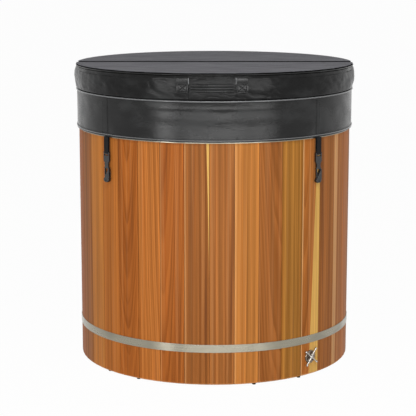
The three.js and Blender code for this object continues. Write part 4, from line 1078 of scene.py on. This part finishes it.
class TUB_OT_skirts(bpy.types.Operator):
    """Build the skirt halves with their piping, hems and seams"""
    bl_idname = "tub.skirts"
    bl_label = "Skirts"

    limit = SKIRT_INNER * (math.pi / 2 - 0.0045)
    hem = 0.013

    def execute(self, context):
        cover = context.scene.tub_cover
        vinyl = skirt_vinyl(cover)
        for half, turn in HALVES:
            skirt = self.sheet(half, turn, cover, vinyl)
            trims = [self.piping(half, turn, cover), self.binding(half, turn, cover, vinyl)]
            trims += self.seams(half, turn, cover, vinyl)
        return {"FINISHED"}

    def strip(self, surface, left, right, low, high, columns, rows):
        bm = bmesh.new()
        patch(bm, columns, rows, lambda across, up: surface(left + (right - left) * across,
                                                            low + (high - low) * up))
        return bm

    def sheet(self, half, turn, cover, vinyl):
        top = SKIRT_TOP - 2 * cover.piping_radius
        bm = self.strip(skirt_surface(turn, cover), -self.limit, self.limit, SKIRT_HEM, top, 260, 56)
        skirt = piece_from(bm, f"{half}_cover_skirt", f"{half}_cover", "vinyl", vinyl)
        thicken(skirt, cover.skirt_gauge, -1.0, 1)
        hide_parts(f"{half}_skirt")
        return skirt

    def piping(self, half, turn, cover):
        """The bead in the seam between the jacket and the skirt, in grey as a painted highlight."""
        bead = cover.piping_radius
        spread = self.limit / SKIRT_INNER
        bm = bmesh.new()
        centre = around(-spread, SKIRT_INNER + bead, SKIRT_TOP - bead)
        facing = Matrix.Rotation(-spread, 4, "Z") @ Matrix.Rotation(math.pi / 2, 4, "Y")
        made = bmesh.ops.create_circle(bm, segments=12, radius=bead,
                                       matrix=Matrix.Translation(centre) @ facing)
        edges = list(bm.edges)
        bmesh.ops.spin(bm, geom=made["verts"] + edges, cent=(0, 0, 0), axis=(0, 0, 1),
                       angle=2 * spread, steps=150)
        bmesh.ops.holes_fill(bm, edges=[edge for edge in bm.edges if edge.is_boundary], sides=0)
        bmesh.ops.recalc_face_normals(bm, faces=bm.faces)
        bmesh.ops.rotate(bm, verts=bm.verts, cent=(0, 0, 0), matrix=Matrix.Rotation(turn, 3, "Z"))
        return piece_from(bm, f"{half}_piping", f"{half}_cover", "vinyl", highlight_bead_vinyl(cover))

    def binding(self, half, turn, cover, vinyl):
        """The folded hem with its row of stitches; the grey band on its ridge is a painted highlight."""
        def surface(arc, height):
            ridge = math.exp(-((height - SKIRT_HEM - self.hem / 2) / 0.0012) ** 2)
            return skirt_surface(turn, cover, 0.0009 + 0.0016 * ridge)(arc, height)

        bm = self.strip(surface, -self.limit, self.limit, SKIRT_HEM, SKIRT_HEM + self.hem, 220, 18)
        for face in bm.faces:
            off = face.calc_center_median().z - SKIRT_HEM - self.hem / 2
            # The ridge's faces take the grey bead vinyl as a painted highlight.
            face.material_index = 1 if abs(off) < 0.0015 else 0
        hem = piece_from(bm, f"{half}_hem", f"{half}_cover", "vinyl", vinyl, highlight_bead_vinyl(cover))
        thicken(hem, 0.0008, -1.0)
        return hem

    def seams(self, half, turn, cover, vinyl):
        """Seam straps over the joins of the skirt, and all rows of stitches."""
        surface = skirt_surface(turn, cover, 0.0010)
        rows = bmesh.new()
        level = SKIRT_HEM + self.hem - 0.003
        sew(rows, surface, (-self.limit, level), (self.limit, level), cover)
        made = []
        top = SKIRT_TOP - 2.4 * cover.piping_radius
        places = ((-49.0, 0.036), (45.2, 0.021)) if half == "front" else ((-47.0, 0.021), (47.0, 0.021))
        for index, (angle, width) in enumerate(places, start=1):
            arc = math.radians(angle) * SKIRT_INNER
            left, right = arc - width / 2, arc + width / 2
            bm = self.strip(surface, left, right, SKIRT_HEM + self.hem, top, 6, 18)
            strap = piece_from(bm, f"{half}_seam_strap_{index}", f"{half}_cover", "vinyl", vinyl)
            thicken(strap, 0.0009, -1.0, 1)
            made.append(strap)
            for edge in (left + 0.003, right - 0.003):
                sew(rows, surface, (edge, SKIRT_HEM + 0.004), (edge, top - 0.004), cover)
            if width > 0.03:
                low, high = top - 0.030, top - 0.016
                for bar in (low, high):
                    sew(rows, surface, (left + 0.006, bar), (right - 0.006, bar), cover)
        made.append(piece_from(rows, f"{half}_skirt_stitches", f"{half}_cover", "webbing",
                               thread_finish(cover)))
        return made


class TUB_OT_carry_handle(bpy.types.Operator):
    """Build the carry handle on the front of the cover"""
    bl_idname = "tub.carry_handle"
    bl_label = "Carry handle"

    half_grip = 0.171 / 2
    tab = 0.043
    foot = GRIP_FOOT - 0.004
    grip_width = 0.029
    gap = 0.0085

    def execute(self, context):
        cover = context.scene.tub_cover
        vinyl = strap_vinyl(cover)
        grip = self.grip(cover, vinyl)
        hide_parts("carry_handle")
        self.tabs(cover, vinyl)
        self.backing(cover, side_vinyl(cover))
        return {"FINISHED"}

    def backing(self, cover, vinyl):
        """The flat patch behind the grip, with a bead at the inner edge of each tab, in grey as a painted
        highlight.
        """
        low, high = COVER_BASE + 0.010, COVER_TOP - 0.013

        def surface(arc, height, lift=0.0):
            angle = arc / COVER_RADIUS + CARRY_ANGLE
            return around(angle, side_radius(height, cover) + cover.wrinkle + 0.0012 + lift, height)

        bm = bmesh.new()
        patch(bm, 40, 20, lambda across, up: surface((2 * across - 1) * self.half_grip,
                                                     low + (high - low) * up))
        plate = piece_from(bm, "carry_backing", "front_cover", "vinyl", vinyl)
        thicken(plate, 0.0016, -1.0, 1)
        bm = bmesh.new()
        for sign in (-1, 1):
            loops = []
            for height in spaced(20, self.foot + self.grip_width, high):
                centre = surface(sign * (self.half_grip - 0.0012), height, 0.0022)
                loops.append([centre + Vector((0.0014 * math.cos(turn), 0.0014 * math.sin(turn), 0.0))
                              for turn in spaced(8, 0.0, math.tau)[:-1]])
            loft(bm, loops)
        piece_from(bm, "carry_edge_beads", "front_cover", "vinyl", highlight_bead_vinyl(cover))

    def grip(self, cover, vinyl):
        """A band that bows away from the jacket, with three padded ribs along it."""
        tail = 0.016
        root = COVER_RADIUS + cover.bulge + 0.0008
        loops = []
        for arc in spaced(64, -self.half_grip - tail, self.half_grip + tail):
            part = min(abs(arc) / self.half_grip, 1.0)
            inner = root + self.gap * (1 - part ** 2) ** 2
            gauge = 0.0016 + 0.0036 * min(1.0, 8.0 * (1 - part))
            angle = arc / COVER_RADIUS + CARRY_ANGLE
            loop = []
            for up in spaced(48):
                ridge = gauge * (0.2 + 0.8 * abs(math.sin(3 * math.pi * up)) ** 0.7)
                loop.append(around(angle, inner + ridge, self.foot + self.grip_width * up))
            for up in reversed(spaced(8)):
                loop.append(around(angle, inner, self.foot + self.grip_width * up))
            loops.append(loop)
        bm = bmesh.new()
        loft(bm, loops)
        return piece_from(bm, "carry_grip", "front_cover", "vinyl", vinyl)

    def tabs(self, cover, vinyl):
        """Tabs sewn over the grip's ends, with a box and a cross of stitches on each."""
        foot, head = self.foot - 0.001, COVER_TOP - 0.015
        low, high = self.foot + 0.002, self.foot + self.grip_width - 0.001

        def surface(arc, height, lift=0.0):
            middle = (height - self.foot - self.grip_width / 2) / self.grip_width
            swell = 0.0022 * math.exp(-(1.6 * middle) ** 4)
            radius = max(side_radius(height, cover), COVER_RADIUS + cover.bulge * 0.6) + cover.wrinkle
            return around(arc / COVER_RADIUS + CARRY_ANGLE, radius + 0.0028 + swell + lift, height)

        bm, rows = bmesh.new(), bmesh.new()
        for sign in (-1, 1):
            near, far = sorted((sign * self.half_grip, sign * (self.half_grip + self.tab)))
            left, right = near + 0.006, far - 0.006
            lines = [((left, low), (right, low)), ((left, high), (right, high)),
                     ((left, low), (left, high)), ((right, low), (right, high)),
                     ((left, low), (right, high)), ((left, high), (right, low))]

            def pulled(across, up):
                arc, height = near + (far - near) * across, foot + (head - foot) * up
                near_line = min(line_distance((arc, height), *line) for line in lines)
                return surface(arc, height, -0.0016 * math.exp(-(near_line / 0.0016) ** 2))

            patch(bm, 44, 56, pulled)
            for edge in (left, right):
                lines.append(((edge, high), (edge, head - 0.002)))
            for start, end in lines:
                sew(rows, lambda arc, height: surface(arc, height, -0.0012), start, end, cover)
        tabs = piece_from(bm, "carry_tabs", "front_cover", "vinyl", vinyl)
        thicken(tabs, 0.0024, -1.0)
        piece_from(rows, "carry_stitches", "front_cover", "webbing", thread_finish(cover))


class TUB_OT_straps(bpy.types.Operator):
    """Build the tie-down webbing and finish the buckles"""
    bl_idname = "tub.straps"
    bl_label = "Straps and buckles"

    def execute(self, context):
        strap = context.scene.tub_strap
        plastic = finish_material("buckle_plastic", "moulded_skin",
                                  {"Surface": rgba(strap.plastic), "Rough": 0.16}, 0.00008,
                                  Specular_IOR_Level=0.55)
        for side, angle in STRAP_ANGLES.items():
            weave = finish_material(f"{side}_webbing", "webbing_weave", {"Yarn": rgba(strap.webbing)},
                                    0.0003, rotation=(0.0, 0.0, -angle), Specular_IOR_Level=0.12)
            self.loop(side, angle, strap, weave)
            refined(f"{side}_plug", f"{side}_buckle_plug", "buckle", plastic, strap.mould_ease,
                    body=f"{side}_strap_plug")
            refined(f"{side}_socket", f"{side}_buckle_case", "buckle", plastic, strap.mould_ease,
                    body=f"{side}_buckle_socket")
        return {"FINISHED"}

    def loop(self, side, angle, strap, weave):
        """Two layers of webbing that meet round the buckle's bar."""
        turn_length = math.pi * strap.bend
        total = 2 * strap.drop + turn_length

        def place(across, along):
            run = along * total
            if run < strap.drop:
                out, up = strap.bend, strap.drop - run
            elif run < strap.drop + turn_length:
                swing = (run - strap.drop) / strap.bend
                out, up = strap.bend * math.cos(swing), -strap.bend * math.sin(swing)
            else:
                out, up = -strap.bend, run - strap.drop - turn_length
            point = Vector(((across - 0.5) * strap.width, -BUCKLE_RADIUS - out, BAR_HEIGHT + up))
            return Matrix.Rotation(angle, 3, "Z") @ point

        bm = bmesh.new()
        patch(bm, 8, 60, place)
        bmesh.ops.reverse_faces(bm, faces=bm.faces)
        webbing = piece_from(bm, f"{side}_strap_webbing", f"{side}_strap_plug", "webbing", weave)
        thicken(webbing, strap.ply, 0.0)
        edge = webbing.modifiers.new("Selvedge", "BEVEL")
        edge.width = strap.ply / 3
        edge.segments = 2
        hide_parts(f"{side}_strap")


class TUB_OT_stage(bpy.types.Operator):
    """Set up the floor, the lamps and the camera"""
    bl_idname = "tub.stage"
    bl_label = "Stage"

    def execute(self, context):
        stage = context.scene.tub_stage
        context.scene.view_settings.view_transform = "Standard"
        self.floor(context, stage)
        self.world(context, stage)
        self.softbox(context, "key_softbox", stage.key_power, (-3.0, -3.85, 1.0), (0.9, 1.7))
        self.softbox(context, "fill_softbox", stage.fill_power, (2.9, -3.95, 1.0), (0.9, 1.6))
        self.softbox(context, "front_softbox", stage.front_power, (0.2, -3.2, 3.5), (2.6, 0.9))
        self.softbox(context, "sweep_softbox", stage.sweep_power, (0.2, -6.3, 0.72), (6.0, 1.0))
        camera = bpy.data.cameras.new("photo_camera")
        camera.lens = stage.lens
        camera.sensor_width = 36.0
        eye = bpy.data.objects.new("photo_camera", camera)
        eye.location = stage.eye
        eye.rotation_euler = (stage.tilt, 0.0, stage.pan)
        context.scene.collection.objects.link(eye)
        context.scene.camera = eye
        return {"FINISHED"}

    def backdrop_ray(self, bench):
        """True where a ray should see the plain backdrop: from the camera, a mirror or glass."""
        path = bench.node("ShaderNodeLightPath").outputs
        seen = bench.math("MAXIMUM", path["Is Camera Ray"], path["Is Glossy Ray"])
        return bench.math("MAXIMUM", seen, path["Is Transmission Ray"])

    def floor(self, context, stage):
        bm = bmesh.new()
        bmesh.ops.create_circle(bm, cap_ends=True, segments=96, radius=60.0)
        mesh = bpy.data.meshes.new("studio_floor")
        bm.to_mesh(mesh)
        bm.free()
        floor = bpy.data.objects.new("studio_floor", mesh)
        context.scene.collection.objects.link(floor)
        paint = bpy.data.materials.new("studio_floor")
        paint.use_nodes = True
        mesh.materials.append(paint)
        bench = Bench(paint.node_tree)
        shader = paint.node_tree.nodes["Principled BSDF"]
        shader.inputs["Base Color"].default_value = rgba(stage.floor)
        shader.inputs["Roughness"].default_value = 0.9
        shader.inputs["Specular IOR Level"].default_value = 0.1
        white = bench.node("ShaderNodeEmission", {"Color": (1.0, 1.0, 1.0, 1.0), "Strength": 1.0})
        lifted = bench.math("MULTIPLY", self.backdrop_ray(bench), stage.floor_white)
        mixed = bench.node("ShaderNodeMixShader", {0: lifted, 1: shader.outputs[0], 2: white.outputs[0]})
        bench.feed(paint.node_tree.nodes["Material Output"].inputs["Surface"], mixed.outputs[0])

    def world(self, context, stage):
        world = bpy.data.worlds.new("studio")
        world.use_nodes = True
        context.scene.world = world
        bench = Bench(world.node_tree)
        sky = world.node_tree.nodes["Background"]
        sky.inputs["Color"].default_value = (1.0, 1.0, 1.0, 1.0)
        lifted = bench.math("MULTIPLY_ADD", self.backdrop_ray(bench), 1.0 - stage.ambient, stage.ambient)
        bench.feed(sky.inputs["Strength"], lifted)

    def softbox(self, context, name, power, place, spread):
        lamp = bpy.data.lights.new(name, "AREA")
        lamp.energy = power
        lamp.shape = "RECTANGLE"
        lamp.size, lamp.size_y = spread
        box = bpy.data.objects.new(name, lamp)
        box.location = place
        aim = Vector((0.0, 0.0, 0.7)) - Vector(place)
        box.rotation_euler = aim.to_track_quat("-Z", "Y").to_euler()
        context.scene.collection.objects.link(box)


STEPS = (TUB_OT_staves, TUB_OT_base, TUB_OT_hoops, TUB_OT_drain, TUB_OT_jackets, TUB_OT_hinge,
         TUB_OT_skirts, TUB_OT_carry_handle, TUB_OT_straps, TUB_OT_stage)
SETTINGS = {"tub_wood": TubWoodSettings, "tub_metal": TubMetalSettings, "tub_cover": TubCoverSettings,
            "tub_strap": TubStrapSettings, "tub_stage": TubStageSettings}


class TUB_PT_panel(bpy.types.Panel):
    """Lists the build steps of the tub"""
    bl_idname = "TUB_PT_panel"
    bl_label = "Plunge Tub"
    bl_space_type = "VIEW_3D"
    bl_region_type = "UI"
    bl_category = "Plunge Tub"

    def draw(self, context):
        for step in STEPS:
            self.layout.operator(step.bl_idname)
        for name, group in SETTINGS.items():
            column = self.layout.column()
            for field in group.__annotations__:
                column.prop(getattr(context.scene, name), field)


def register():
    for cls in (*SETTINGS.values(), *STEPS, TUB_PT_panel):
        bpy.utils.register_class(cls)
    for name, group in SETTINGS.items():
        setattr(bpy.types.Scene, name, PointerProperty(type=group))


def unregister():
    for name in SETTINGS:
        delattr(bpy.types.Scene, name)
    for cls in reversed((*SETTINGS.values(), *STEPS, TUB_PT_panel)):
        bpy.utils.unregister_class(cls)


def main():
    register()
    for step in STEPS:
        area, name = step.bl_idname.split(".")
        getattr(getattr(bpy.ops, area), name)()


if __name__ == "__main__":
    main()
